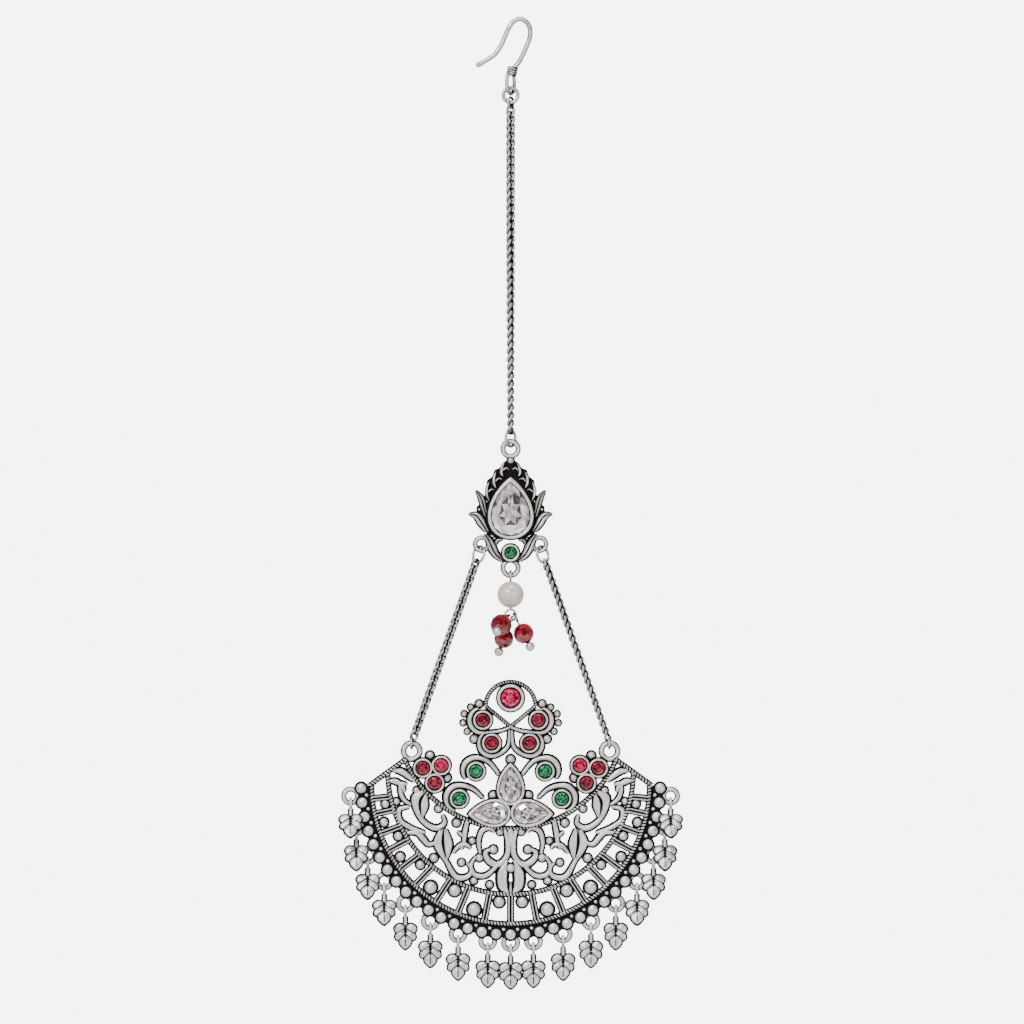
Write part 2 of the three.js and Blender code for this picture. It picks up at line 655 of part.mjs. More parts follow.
const pearlPin = joined([
  eye(90).translate([0, 0, pinEyeHeight]),
  shaft(pinEyeHeight - PIN_EYE, lowerEyeHeight + LOWER_EYE),
  eye(0, LOWER_EYE).translate([0, 0, lowerEyeHeight]),
]);
addPiece(group, "pearl_pin", geometryOf(pearlPin), SILVER).position.x = AXIS_X;
addPiece(group, "pearl", geometryOf(drilledBall(PEARL, 12)), PEARL_FINISH)
  .position.set(AXIS_X, 0, pearlHeight);

// The three red beads: where each pin's eye sits round the pearl pin's lower eye (degrees from +X),
// the way that it points, the bead's diameter and how far its middle is from the eye
const redBeads = [
  { seat: 205, way: [-0.27, -0.86, -0.43], bead: 3.5, reach: 2.95 },
  { seat: 270, way: [-0.35, 0.15, -0.93], bead: 3.2, reach: 3.45 },
  { seat: 335, way: [0.44, -0.16, -0.88], bead: 3.3, reach: 3.25 },
];
redBeads.forEach(({ seat, way, bead, reach }, i) => {
  const down = new THREE.Vector3(...way).normalize();
  const along = new THREE.Vector3(-Math.sin(rad(seat)), 0, Math.cos(rad(seat)));
  const across = along.clone().addScaledVector(down, -along.dot(down)).normalize();
  const up = down.clone().negate();
  const facing = new THREE.Matrix4().makeBasis(across, up.clone().cross(across), up);
  const drop = new THREE.Group();
  drop.position.set(
    AXIS_X + LOWER_EYE * Math.cos(rad(seat)),
    0,
    lowerEyeHeight + LOWER_EYE * Math.sin(rad(seat)),
  );
  drop.quaternion.setFromRotationMatrix(facing);
  group.add(drop);
  const ballMiddle = reach + bead / 2 + BALL_PLAY + PIN_BALL / 2;
  const ball = new THREE.SphereGeometry(PIN_BALL / 2, 10, 5);
  ball.translate(0, 0, -ballMiddle);
  const pin = joined([eye(90), shaft(-PIN_EYE, -ballMiddle), solidOf(ball)]);
  addPiece(drop, `bead_pin_${i + 1}`, geometryOf(pin), SILVER);
  addPiece(drop, `red_bead_${i + 1}`, geometryOf(drilledBall(bead, 10)), CORAL).position.z = -reach;
});

// Side chains, and the fan's place under them

const sideRingHeight = footWire(medallionHeight, SIDE_LOOP_Y, SIDE_LOOP)
  + linkDrop(loopWire(SIDE_LOOP), SIDE_RING.wire) - SIDE_RING.radius;
const SIDE_DROP = 35.4; // from the side rings' middle down to the eyelets' middle
const eyeletHeight = sideRingHeight - SIDE_DROP;
const fanHeight = eyeletHeight - EYELET_Y;
const eyeletTopWire = eyeletHeight + loopMiddle(EYELET);
const endLinkHeight = eyeletTopWire - linkDrop(loopWire(EYELET), END_LINK.wire) + END_LINK.radius;

for (const [word, side] of [["left", -1], ["right", 1]]) {
  const ringX = side * (SIDE_LOOP_X + SIDE_RING_OUT);
  const linkX = side * EYELET_X;
  const turnedRing = { ...SIDE_RING, turn: side * SIDE_RING.turn };
  addRing(`side_ring_${word}`, turnedRing, ringX, sideRingHeight, side * -SIDE_RING_TILT);
  addRing(`end_link_${word}`, END_LINK, linkX, endLinkHeight);
  const from = new THREE.Vector3(AXIS_X + ringX, 0, sideRingHeight);
  const to = new THREE.Vector3(AXIS_X + linkX, 0, endLinkHeight);
  const way = to.clone().sub(from).normalize();
  from.addScaledVector(way, SIDE_RING.radius + SIDE_RING.wire / 2 + CLEARANCE);
  to.addScaledVector(way, -(END_LINK.radius + END_LINK.wire / 2 + CLEARANCE));
  addChain(`side_chain_${word}`, from, to, SIDE_CHAIN_WIDTH);
}

// Fan pendant

/** A place in the scroll field: degrees from straight down, and share from the inner to the middle arc. */
function inField(turn, share) {
  const far = reachOf(MIDDLE_ARC, INNER_ARC.height, turn);
  return below(INNER_ARC.height, THREE.MathUtils.lerp(INNER_ARC.radius, far, share), turn);
}

/** A place among the windows: degrees from straight down, and share from the middle to the outer arc. */
function inWindows(turn, share) {
  const near = reachOf(MIDDLE_ARC, OUTER_ARC.height, turn);
  return below(OUTER_ARC.height, THREE.MathUtils.lerp(near, OUTER_ARC.radius, share), turn);
}

/** A place above the inner arc: degrees from straight down, and height above the arc. */
function aboveArc(turn, lift) {
  return below(INNER_ARC.height, INNER_ARC.radius - lift, turn);
}

const mirrored = (p, side) => ({ ...p, x: p.x * side });

// The end bars run down from the eyelets' rims
const barRoot = { x: EYELET_X + EYELET.outer / 4, y: EYELET_Y - EYELET.outer * 0.36 };
const barSlope = Math.tan(rad(END_BAR_ANGLE));

/** The turn from straight down at which an arc, followed outward and up, comes above the end bar. */
function turnAtBar(arc) {
  const STEP = 0.25;
  let turn = 30;
  while (turn < 120) {
    const p = below(arc.height, arc.radius, turn);
    if (p.y > barRoot.y - (p.x - barRoot.x) * barSlope) break;
    turn += STEP;
  }
  return turn;
}
const innerEnd = turnAtBar(INNER_ARC);
const middleEnd = turnAtBar(MIDDLE_ARC);
const outerEnd = turnAtBar(OUTER_ARC);

// Rungs between the middle and outer arcs: degrees from straight down
const rungs = [0, 11, 22.4, 32.6, 43.7, 52.7, 61.8, 69.5, 78, 84.4];

// Beads in the windows between the rungs: turn, diameter, and whether each sits on the outer arc
const windowBeads = [
  { turn: 5.6, size: 2.3, outer: false },
  { turn: 16.4, size: 2.8, outer: true },
  { turn: 28.0, size: 2.5, outer: false },
  { turn: 38.0, size: 2.7, outer: true },
  { turn: 48.6, size: 1.9, outer: false },
  { turn: 57.0, size: 2.0, outer: true },
  { turn: 65.6, size: 1.9, outer: false },
  { turn: 73.6, size: 1.9, outer: true },
  { turn: 81.4, size: 1.8, outer: false },
];
const SEAT_SINK = 0.2; // how far a bead runs into the band that it is soldered to

/** The place of a window bead against its band. */
function windowSeat({ turn, size, outer }) {
  const reach = BAND / 2 + size / 2 - SEAT_SINK;
  const near = reachOf(MIDDLE_ARC, OUTER_ARC.height, turn) + reach;
  return below(OUTER_ARC.height, outer ? OUTER_ARC.radius - reach : near, turn);
}

// Scrolls on one side of the field; each line is a row of turn and share, with its widths in mm
const scrolls = [
  { line: [[64, 0.75], [62, 0.38], [58, 0.16], [54, 0.06]], widths: [0.7, 1.4, 1.3, 0.6] },
  { line: [[61, 1.0], [59, 0.68], [56, 0.5], [53, 0.52]], widths: [0.8, 1.3, 1.0, 0.7] },
  { line: [[47, 0.5], [51, 0.62], [55, 0.62], [57, 0.5], [55, 0.32]], widths: [0.6, 1.0, 1.0, 0.9, 0.7] },
  { line: [[47, 0.55], [49, 0.85], [46, 0.95], [42, 0.84], [35, 0.62]], widths: [0.6, 1.1, 1.2, 1.1, 0.7] },
  { line: [[48, 0.02], [48.5, 0.32], [40, 0.5], [33, 0.42], [31, 0.24], [34, 0.12]],
    widths: [0.6, 1.6, 1.1, 1.3, 1.0, 0.6] },
  { line: [[46, 0.04], [42.5, 0.24], [40, 0.5]], widths: [0.5, 1.4, 0.5] },
  { line: [[41, 0.96], [38, 0.76], [35, 0.74], [32, 0.74], [29, 0.56]], widths: [0.8, 1.2, 1.3, 1.1, 0.6] },
  { line: [[22, -0.02], [21, 0.2], [20, 0.36], [20, 0.5]], widths: [0.9, 1.2, 0.9, 0.6] },
  { line: [[24.5, 0.24], [21, 0.28]], widths: [0.5, 0.9] },
  { line: [[31, 0.38], [29.5, 0.62], [23.5, 0.78], [18, 0.93], [14.6, 0.84], [14, 0.72], [16.5, 0.64]],
    widths: [0.6, 1.6, 0.9, 1.4, 1.1, 0.8, 0.6] },
  { line: [[29.5, 0.3], [25, 0.5], [23.5, 0.76]], widths: [0.5, 1.4, 0.6] },
  { line: [[22.5, 0.62], [21, 0.44], [18.5, 0.38], [16, 0.42]], widths: [0.6, 1.0, 0.9, 0.5] },
  { line: [[12, 0.46], [14, 0.26], [13.5, 0.08], [10, 0.02], [7.5, 0.08]], widths: [0.6, 1.0, 1.2, 1.1, 0.6] },
  { line: [[3, 0.0], [1.2, 0.22], [1.6, 0.42], [5, 0.56], [9, 0.5], [10.2, 0.4], [8.2, 0.34]],
    widths: [0.8, 1.3, 1.2, 1.5, 1.1, 0.7] },
  { line: [[13.6, 0.5], [14.6, 0.66], [12.6, 0.78], [9, 0.76], [5.6, 0.6], [4.4, 0.5]],
    widths: [0.6, 0.9, 1.1, 1.1, 0.9, 0.6] },
  { line: [[2, 0.54], [4.4, 0.72], [3, 0.92], [0.6, 0.98]], widths: [0.6, 2.2, 1.6, 0.6] },
];

// The bead between the flower's petals, which the tongue runs into
const flowerBead = inField(0, 0.6);

// The setting's own outline round a pear stone, about the stone's widest place
const pearOutline = pearRing(FAN_PEAR, FAN_PEAR_WALL, 0, { x: 0, y: 0, turn: 0 }).points;
const pearTip = pearOutline[0].y;
const pearRound = -pearOutline[PEAR_SIDES / 2].y;
const pearHalfWidth = Math.max(...pearOutline.map((p) => p.x));
const lyingPearY = inField(0, 0).y + BAND / 2 + pearHalfWidth - PEAR_SINK.band;
const lyingPear = (side) => ({
  x: side * (pearRound - PEAR_SINK.side),
  y: lyingPearY,
  turn: side * rad(-LYING_PEAR_TURN),
});
const uprightPear = { x: 0, y: lyingPearY + pearHalfWidth + pearRound - PEAR_SINK.foot, turn: 0 };

// Crest, measured up from the bead on the upright pear's tip
const crestBead = { x: 0, y: uprightPear.y + pearTip + FLOWER_BEAD.diameter / 2 - CREST_BEAD_SINK };
const crossing = { x: 0, y: crestBead.y + CREST_CROSSING };
const corner = { x: CREST_CORNER.x, y: crossing.y + CREST_CORNER.y };
const crestTop = { x: 0, y: corner.y + CREST_TOP_LIFT };
const archTop = crestTop.y + CREST_TOP_STONE / 2 + CREST_TOP_WALL + BAND / 2 - PEAR_SINK.band;

const SETTING_LAP = 0.23; // how far two soldered bezels run into each other
const outerShoulder = aboveArc(57.8, 2.15);
const lowerShoulder = aboveArc(47.2, 2.2);

/** The place of a shoulder stone whose bezel lies in the notch above two others. */
function nestled(a, b) {
  const apart = SHOULDER_STONE + 2 * BEZEL_WALL - SETTING_LAP;
  const span = Math.hypot(b.x - a.x, b.y - a.y);
  const rise = Math.sqrt(apart ** 2 - (span / 2) ** 2) / span;
  return { x: (a.x + b.x) / 2 + (b.y - a.y) * rise, y: (a.y + b.y) / 2 - (b.x - a.x) * rise };
}

// Round stones on one side: name, place, diameter and colour
const BESIDE_PEAR = { out: 6.21, up: 3.27 }; // from the upright pear's widest place to the green stone beside it
const sideStones = [
  { name: "shoulder_stone_outer", at: outerShoulder, size: SHOULDER_STONE, finish: RED_GLASS },
  { name: "shoulder_stone_inner", at: nestled(outerShoulder, lowerShoulder), size: SHOULDER_STONE, finish: RED_GLASS },
  { name: "shoulder_stone_lower", at: lowerShoulder, size: SHOULDER_STONE, finish: RED_GLASS },
  { name: "green_stone_lower", at: aboveArc(30.8, 2.8), size: GREEN_STONE, finish: GREEN_GLASS },
  {
    name: "green_stone_upper",
    at: { x: uprightPear.x + BESIDE_PEAR.out, y: uprightPear.y + BESIDE_PEAR.up },
    size: GREEN_STONE,
    finish: GREEN_GLASS,
  },
  {
    name: "crest_stone_upper",
    at: { x: CREST_CORNER.x + 0.5, y: crossing.y + 1.2 },
    size: SHOULDER_STONE,
    finish: RED_GLASS,
  },
  {
    name: "crest_stone_lower",
    at: { x: CREST_CORNER.x - 1.1, y: crossing.y - 2.95 },
    size: SHOULDER_STONE,
    finish: RED_GLASS,
  },
];
const stoneAt = (name) => sideStones.find((stone) => stone.name === name).at;

/** A crescent collar round a stone, from one angle to another (degrees from +X), swelling in the middle. */
function collar(at, reach, from, to, lead, tail, join, widths, back) {
  const STEPS = 5;
  const points = lead.map(([x, y]) => ({ x: at.x + x, y: at.y + y }));
  for (let i = 0; i <= STEPS; i += 1) {
    const t = rad(THREE.MathUtils.lerp(from, to, i / STEPS));
    points.push({ x: at.x + reach * Math.cos(t), y: at.y + reach * Math.sin(t) });
  }
  points.push(...tail.map(([x, y]) => ({ x: at.x + x, y: at.y + y })), ...join);
  return scroll(points, widths, back, SCROLL_FRONT + RELIEF);
}

// Where the green stones' collars run into the walls of the pears
const onLyingPear = { x: lyingPear(1).x + 1.88, y: lyingPearY + pearHalfWidth };
const onUprightPear = { x: pearHalfWidth * 0.7, y: uprightPear.y + pearTip * 0.46 };

// Collars on the right: the stone, the reach of the crescent's middle line, its angles, the points that
// lead in and out of it beside the stone, the places that it runs into, and its widths
const collars = [
  {
    stone: "green_stone_lower", reach: 2.35, from: -75, to: 95, lead: [], tail: [[-2.4, 1.8]], join: [onLyingPear],
    widths: [0.5, 1.1, 1.6, 1.5, 1.1, 0.6],
  },
  {
    stone: "green_stone_upper", reach: 2.35, from: -40, to: 95, lead: [], tail: [[-2.1, 1.8]], join: [onUprightPear],
    widths: [0.5, 1.1, 1.5, 1.4, 1.1, 0.7],
  },
  {
    stone: "crest_stone_upper", reach: 2.3, from: -100, to: 72, lead: [[-5.2, -1.2], [-2.9, -2.0]], tail: [], join: [],
    widths: [0.5, 0.8, 1.0, 1.3, 1.2, 0.6],
  },
  {
    stone: "crest_stone_lower", reach: 2.25, from: 60, to: -110, lead: [], tail: [[-2.8, -0.7], [-3.2, 2.6]], join: [],
    widths: [0.5, 0.9, 1.3, 1.2, 1.0, 0.6],
  },
];

// Beads on one side of the upper part: place and diameter
const upperBeads = [
  { at: aboveArc(62.0, 4.35), size: 1.8 },
  { at: aboveArc(44.6, 4.4), size: 1.9 },
  { at: { x: uprightPear.x + 3.15, y: uprightPear.y - 1.1 }, size: 1.9 },
  { at: { x: CREST_CORNER.x + 1.15, y: crossing.y + 4.1 }, size: 1.6 },
  { at: { x: CREST_CORNER.x + 2.05, y: crossing.y - 2.2 }, size: 1.7 },
];

// Loops of the fringe, from the middle out: place and lean of the leaf that hangs in each
const fringe = [{ turn: 0, side: 1, pair: -1 }];
for (let k = 0; k < FRINGE_PAIRS; k += 1) {
  for (const side of [-1, 1]) fringe.push({ turn: (2 * k + 1.5) * EDGE_BEAD_STEP, side, pair: k });
}
fringe.forEach((drop) => {
  const spread = FRINGE_RADIUS + FRINGE_SPREAD * (drop.turn / 90) ** 2;
  drop.at = mirrored(below(OUTER_ARC.height, spread, drop.turn), drop.side);
  drop.lean = LEAF_LEANS[FRINGE_PAIRS - 1 - drop.pair] ?? 0;
});

// The thin strip that carries the edge beads outside the outer arc
const edgeStripWidth = EDGE_BEAD_RADIUS - OUTER_ARC.radius + EDGE_BEAD / 7;
const edgeStrip = { radius: OUTER_ARC.radius + BAND / 4 + edgeStripWidth / 2, height: OUTER_ARC.height };

const fringeDepth = STRIP_FRONT - LAYER * 2 - LOOP_DEPTH / 2; // middle of the fringe's loops

/** The pendant's cast and soldered metal. */
function fanSolid() {
  const settingBack = FAN_BACK - LAYER;
  const rungBack = FAN_BACK + LAYER;
  const scrollBack = FAN_BACK + 2 * LAYER;
  const beadBack = FAN_BACK + 3 * LAYER;
  const pieces = [
    arcBand(INNER_ARC, BAND, -innerEnd, innerEnd, FAN_BACK, BAND_FRONT, 10),
    arcBand(MIDDLE_ARC, BAND, -middleEnd, middleEnd, FAN_BACK, BAND_FRONT, 10),
    arcBand(OUTER_ARC, BAND, -outerEnd, outerEnd, FAN_BACK, BAND_FRONT, 12),
    arcBand(edgeStrip, edgeStripWidth, -outerEnd, outerEnd, rungBack, STRIP_FRONT, 12),
    dome(crestBead.x, crestBead.y, FLOWER_BEAD.diameter, beadBack, FLOWER_BEAD.rise),
    dome(flowerBead.x, flowerBead.y, FLOWER_BEAD.diameter, beadBack, FLOWER_BEAD.rise),
    scroll([flowerBead, inField(0, 0.86), inField(0, 1)], [0.5, 0.9, 0.6], scrollBack, SCROLL_FRONT, 3),
    scroll([inField(0, -0.02), inField(0, 0.12), inField(0, 0.28)], [1.6, 1.5, 0.3], scrollBack, SCROLL_FRONT, 3),
    pearSetting(FAN_PEAR, FAN_PEAR_WALL, settingBack, BEZEL_RIM, uprightPear),
    roundSetting(crestTop.x, crestTop.y, CREST_TOP_STONE, CREST_TOP_WALL, settingBack, BEZEL_RIM),
  ];
  // The arch over the top stone as shares of its half width and rise
  const arch = [[1, 0], [0.88, 0.51], [0.56, 0.79], [0, 1]]
    .map(([out, up]) => ({ x: out * corner.x, y: THREE.MathUtils.lerp(corner.y, archTop, up) }));
  const archLine = [...arch, ...arch.slice(0, 3).reverse().map((p) => mirrored(p, -1))];
  pieces.push(scroll(archLine, [BAND, BAND], FAN_BACK, BAND_FRONT, 10));
  for (const { at, size } of [
    ...upperBeads,
    ...windowBeads.map((bead) => ({ ...bead, at: windowSeat(bead) })),
  ]) {
    const rise = Math.max(size * BEAD_RISE, BEAD_LEAST_RISE);
    for (const side of [-1, 1]) pieces.push(dome(side * at.x, at.y, size, beadBack, rise));
  }
  for (let i = -EDGE_BEAD_PAIRS; i <= EDGE_BEAD_PAIRS; i += 1) {
    const at = below(OUTER_ARC.height, EDGE_BEAD_RADIUS, i * EDGE_BEAD_STEP);
    pieces.push(dome(at.x, at.y, EDGE_BEAD, STRIP_FRONT - LAYER, EDGE_BEAD_RISE + LAYER));
  }
  for (const { at } of fringe) {
    pieces.push(loop(at.x, at.y, FRINGE_LOOP, fringeDepth));
  }
  for (const side of [-1, 1]) {
    pieces.push(loop(side * EYELET_X, EYELET_Y, EYELET, 0, 10));
    const barEnd = below(OUTER_ARC.height, OUTER_ARC.radius + BAND / 2, outerEnd);
    pieces.push(bar(mirrored(barRoot, side), mirrored(barEnd, side), BAND, FAN_BACK, BAND_FRONT));
    pieces.push(bar(mirrored(corner, side), crossing, BAND, rungBack, BAND_FRONT - LAYER));
    for (const turn of rungs) {
      if (turn === 0 && side < 0) continue;
      pieces.push(bar(
        mirrored(inWindows(turn, 0), side),
        mirrored(inWindows(turn, 1), side),
        RUNG_WIDTH,
        rungBack,
        RUNG_FRONT,
      ));
    }
    for (const { line, widths } of scrolls) {
      const points = line.map(([turn, share]) => mirrored(inField(turn, share), side));
      pieces.push(scroll(points, widths, scrollBack, SCROLL_FRONT));
    }
    for (const { at, size } of sideStones) {
      pieces.push(roundSetting(side * at.x, at.y, size, BEZEL_WALL, settingBack, BEZEL_RIM));
    }
    for (const { stone, reach, from, to, lead, tail, join, widths } of collars) {
      const right = collar(stoneAt(stone), reach, from, to, lead, tail, join, widths, scrollBack);
      pieces.push(side > 0 ? right : right.mirror([1, 0, 0]));
    }
    pieces.push(pearSetting(FAN_PEAR, FAN_PEAR_WALL, settingBack, BEZEL_RIM, lyingPear(side)));
  }
  return joined(pieces);
}

const fan = faceFrame(AXIS_X, fanHeight);
addPiece(fan, "fan", geometryOf(fanSolid()), SILVER);

/** Adds one stone of the fan. */
function addStone(name, ringAt, finish) {
  addPiece(fan, name, geometryOf(solidOf(cutStone(ringAt, FAN_BACK, BEZEL_RIM, STONE_RISE))), finish);
}

addStone("crest_stone_top", roundRingAt(CREST_TOP_STONE, crestTop), RED_GLASS);
addStone("pear_stone_upright", pearRingAt(FAN_PEAR, uprightPear), CLEAR_GLASS);
for (const [word, side] of [["left", -1], ["right", 1]]) {
  addStone(`pear_stone_${word}`, pearRingAt(FAN_PEAR, lyingPear(side)), CLEAR_GLASS);
  for (const { name, at, size, finish } of sideStones) {
    addStone(`${name}_${word}`, roundRingAt(size, mirrored(at, side)), finish);
  }
}

// Leaf drops

/** One leaf drop, its ring's middle at the origin and the leaf hanging down the face frame's -y. */
function leafSolid() {
  // Outline of the right half as shares of the leaf's half width and length, from the stem down
  const lobes = [
    { out: 0.9, down: 0.06 },
    { out: 0.98, down: 0.3 },
    { out: 0.62, down: 0.4 },
    { out: 0.86, down: 0.54 },
    { out: 0.44, down: 0.7 },
    { out: 0.3, down: 0.88 },
  ];
  const leafTop = -(LEAF_RING.radius + LEAF_RING.wire / 2 + LEAF_STEM_LENGTH);
  const outline = new THREE.Shape();
  const stemTop = -LEAF_RING.radius;
  outline.moveTo(0, leafTop - LEAF_LENGTH);
  for (const p of [...lobes].reverse()) {
    outline.lineTo((p.out * LEAF_WIDTH) / 2, leafTop - p.down * LEAF_LENGTH);
  }
  outline.lineTo(LEAF_STEM / 2, stemTop);
  outline.lineTo(-LEAF_STEM / 2, stemTop);
  for (const p of lobes) outline.lineTo((-p.out * LEAF_WIDTH) / 2, leafTop - p.down * LEAF_LENGTH);
  outline.closePath();
  const blade = plate(outline, -LEAF_DEPTH / 2, LEAF_DEPTH / 2);
  const ring = wireRing(LEAF_RING.radius, LEAF_RING.wire, 1, 5, 8);
  ring.rotateZ(Math.PI / 2);
  ring.rotateX(-Math.PI / 2);
  return blade.add(solidOf(ring));
}

const leaf = geometryOf(leafSolid());
const leafOrder = [...fringe].sort((a, b) => a.at.x - b.at.x);
leafOrder.forEach(({ at, lean }, i) => {
  const ringDrop = loopMiddle(FRINGE_LOOP) - linkDrop(loopWire(FRINGE_LOOP), LEAF_RING.wire) + LEAF_RING.radius;
  const mesh = addPiece(fan, `leaf_${String(i + 1).padStart(2, "0")}`, leaf, SILVER);
  mesh.position.set(at.x, at.y - ringDrop, fringeDepth);
  mesh.rotation.x = -rad(lean);
});

export default group;
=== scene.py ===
import logging
import math
import random
from dataclasses import dataclass, field
from enum import Enum
from typing import Callable, Sequence

import bmesh
import bpy
from mathutils import Matrix, Vector


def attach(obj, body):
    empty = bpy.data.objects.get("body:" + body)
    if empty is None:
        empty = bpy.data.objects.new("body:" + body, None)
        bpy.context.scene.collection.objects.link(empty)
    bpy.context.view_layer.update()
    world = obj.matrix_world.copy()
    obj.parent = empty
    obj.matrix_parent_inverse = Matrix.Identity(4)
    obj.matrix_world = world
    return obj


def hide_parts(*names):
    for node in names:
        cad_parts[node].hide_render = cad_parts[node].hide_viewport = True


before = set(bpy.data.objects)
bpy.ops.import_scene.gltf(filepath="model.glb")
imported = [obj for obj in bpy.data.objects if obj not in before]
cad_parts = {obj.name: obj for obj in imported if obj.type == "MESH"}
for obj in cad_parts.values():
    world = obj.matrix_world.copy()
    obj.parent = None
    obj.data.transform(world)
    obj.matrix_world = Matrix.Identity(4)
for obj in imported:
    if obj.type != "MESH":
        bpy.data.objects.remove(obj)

logging.basicConfig(level=logging.INFO, format="%(message)s")
LOG = logging.getLogger("maang_tikka")

MM = 0.001
AXIS_X = -1.6  # the jewel's middle line beside the hook's seat, mm
UPPER, PENDANT = "upper", "pendant"
SIDES = ((-1, "left"), (1, "right"))
BACK_TONE = 0.4  # the plain backs keep a light tarnish
FACES_BACK = 0.7  # how squarely a face looks back to count as one
OUTLINE = 0.2  # black edge left showing beside every raised piece, mm: oxide at the solder joint, and painted shade standing for the piece's dark sides
UNDERLAY = (0.04, 0.45)  # the outline's strip: its foot before the work's, mm, and its share of the height
STAGGER = 0.006  # steps that keep overlapping backs out of one plane, mm
WIRE_SIDES = 20
SIDE_RING = (5.75, -95.935)  # out and up to the middle of a side ring, mm
END_LINK = (17.8, -129.81)  # the same for an end link, which hangs in an eyelet of the fan
FAN_HEIGHT = -140.035
FAN_EDGE = (25.0, 2.6)  # radius of the fan's outer arc, and its centre above FAN_HEIGHT, mm
FRINGE_RADIUS = 28.4  # from the same centre to the middle leaf's loop, mm
EDGE_STEP = 5.55  # degrees from one edge bead to the next

Flat = tuple[float, float]
Colour = tuple[float, float, float, float]


class Profile(Enum):
    """Cross sections of soldered work: share across, share of the height, and tone, 0 bright to 1 black; the
    black is oxide in the hollows, and painted shade on the side slopes and flat underlays.
    """

    RIB = (
        (-1, 0, 0.5), (-1, 0.35, 0.7), (-0.87, 0.6, 1), (-0.7, 0.8, 0.62), (-0.42, 0.95, 0), (0, 1, 0),
        (0.42, 0.95, 0), (0.7, 0.8, 0.62), (0.87, 0.6, 1), (1, 0.35, 0.7), (1, 0, 0.5),
    )
    MILLED = (
        (-1.05, 0, 1), (-1.05, 0.55, 1), (-0.76, 0.62, 1), (-0.64, 0.94, 0.2), (-0.3, 1.05, 0),
        (0.3, 1.05, 0), (0.64, 0.94, 0.2), (0.76, 0.62, 1), (1.05, 0.55, 1), (1.05, 0, 1),
    )
    RAILS = (
        (-1.1, 0, 1), (-1.1, 0.5, 1), (-0.92, 0.8, 0.9), (-0.74, 1, 0), (-0.44, 1, 0), (-0.28, 0.85, 0.8),
        (0, 0.45, 1),
        (0.28, 0.85, 0.8), (0.44, 1, 0), (0.74, 1, 0), (0.92, 0.8, 0.9), (1.1, 0.5, 1), (1.1, 0, 1),
    )
    FLAT = ((-1, 0, 0.45), (-1, 1, 0.95), (1, 1, 0.95), (1, 0, 0.45))
    POD = (
        (-1, 0, 1), (-1, 0.4, 1), (-0.87, 0.72, 0.9), (-0.72, 0.88, 0.2), (-0.45, 0.98, 0), (-0.2, 0.9, 0.6),
        (-0.09, 0.5, 1), (0.09, 0.5, 1),
        (0.2, 0.9, 0.6), (0.45, 0.98, 0), (0.72, 0.88, 0.2), (0.87, 0.72, 0.9), (1, 0.4, 1), (1, 0, 1),
    )


def rad(degrees: float) -> float:
    """Degrees in radians."""
    return math.radians(degrees)


def mix(a: float, b: float, share: float) -> float:
    """The value at a share of the way from a to b."""
    return a + (b - a) * share


def clamp(value: float) -> float:
    """The value, kept from 0 to 1."""
    return min(1.0, max(0.0, value))


def turns(count: int, offset: float = 0.0) -> list[float]:
    """Even turns round a circle, in radians."""
    return [(k + offset) / count * 2 * math.pi for k in range(count)]


def mirrored(side: int, stops: Sequence[Flat]) -> list[Flat]:
    """Places of the right-hand side, put on a side."""
    return [(side * x, y) for x, y in stops]


def below(height: float, radius: float, turn: float) -> Flat:
    """The place at a turn, in degrees from straight down, about a centre on the middle line."""
    return radius * math.sin(rad(turn)), height - radius * math.cos(rad(turn))


def fringe_loop(pair: int) -> Flat:
    """Where the right-hand leaf loop of a pair stands on the fan."""
    turn = (2 * pair + 1.5) * EDGE_STEP
    return below(FAN_EDGE[1], FRINGE_RADIUS + 0.5 * (turn / 90) ** 2, turn)


def hoop(middle: Vector, across: float, tall: float, turn: Matrix, count: int) -> list[Vector]:
    """The middle line of a ring of wire, half as wide and tall as given, turned from the face."""
    return [middle + turn @ Vector((across * math.cos(t), 0, tall * math.sin(t))) for t in turns(count)]


def smooth(stops: Sequence[Sequence[float]], count: int) -> list[Vector]:
    """A centripetal curve through stops.

    Args:
        stops: The places that the curve runs through.
        count: How many places are wanted.

    Returns:
        Places spread evenly over the curve's own parameter.
    """
    given = [Vector(stop) for stop in stops]
    held = [given[0] * 2 - given[1], *given, given[-1] * 2 - given[-2]]
    made = []
    for step in range(count):
        t = step / (count - 1) * (len(given) - 1)
        i = min(int(t), len(given) - 2)
        p = held[i:i + 4]
        knots = [0.0]
        for a, b in zip(p, p[1:]):
            knots.append(knots[-1] + max((b - a).length, 1e-6) ** 0.5)
        u = mix(knots[1], knots[2], t - i)

        def between(a: Vector, b: Vector, low: int, high: int) -> Vector:
            """The point of one leg of the curve's pyramid."""
            return a.lerp(b, (u - knots[low]) / (knots[high] - knots[low]))

        a1, a2, a3 = (between(p[k], p[k + 1], k, k + 1) for k in range(3))
        b1, b2 = between(a1, a2, 0, 2), between(a2, a3, 1, 3)
        made.append(between(b1, b2, 1, 2))
    return made


def pear_outline(length: float, width: float, count: int, offset: float = 0.0) -> list[Flat]:
    """A pear's outline, its tip up and its widest place at the origin.

    Args:
        length: From the tip to the round end.
        width: At the widest place.
        count: How many points are wanted.
        offset: Share of a step by which the points are moved round.

    Returns:
        The points, anticlockwise from the tip.
    """
    taper = 0.7
    widest = math.acos(2 / (2 + taper) - 1)

    def out(t: float) -> float:
        """Half the width at the curve's parameter, before scaling."""
        return math.sin(t) * abs(math.sin(t / 2)) ** taper

    points = []
    for i in range(count):
        t = (i + offset) / count * 2 * math.pi
        points.append((-width / 2 * out(t) / out(widest), length / 2 * (math.cos(t) - math.cos(widest))))
    return points


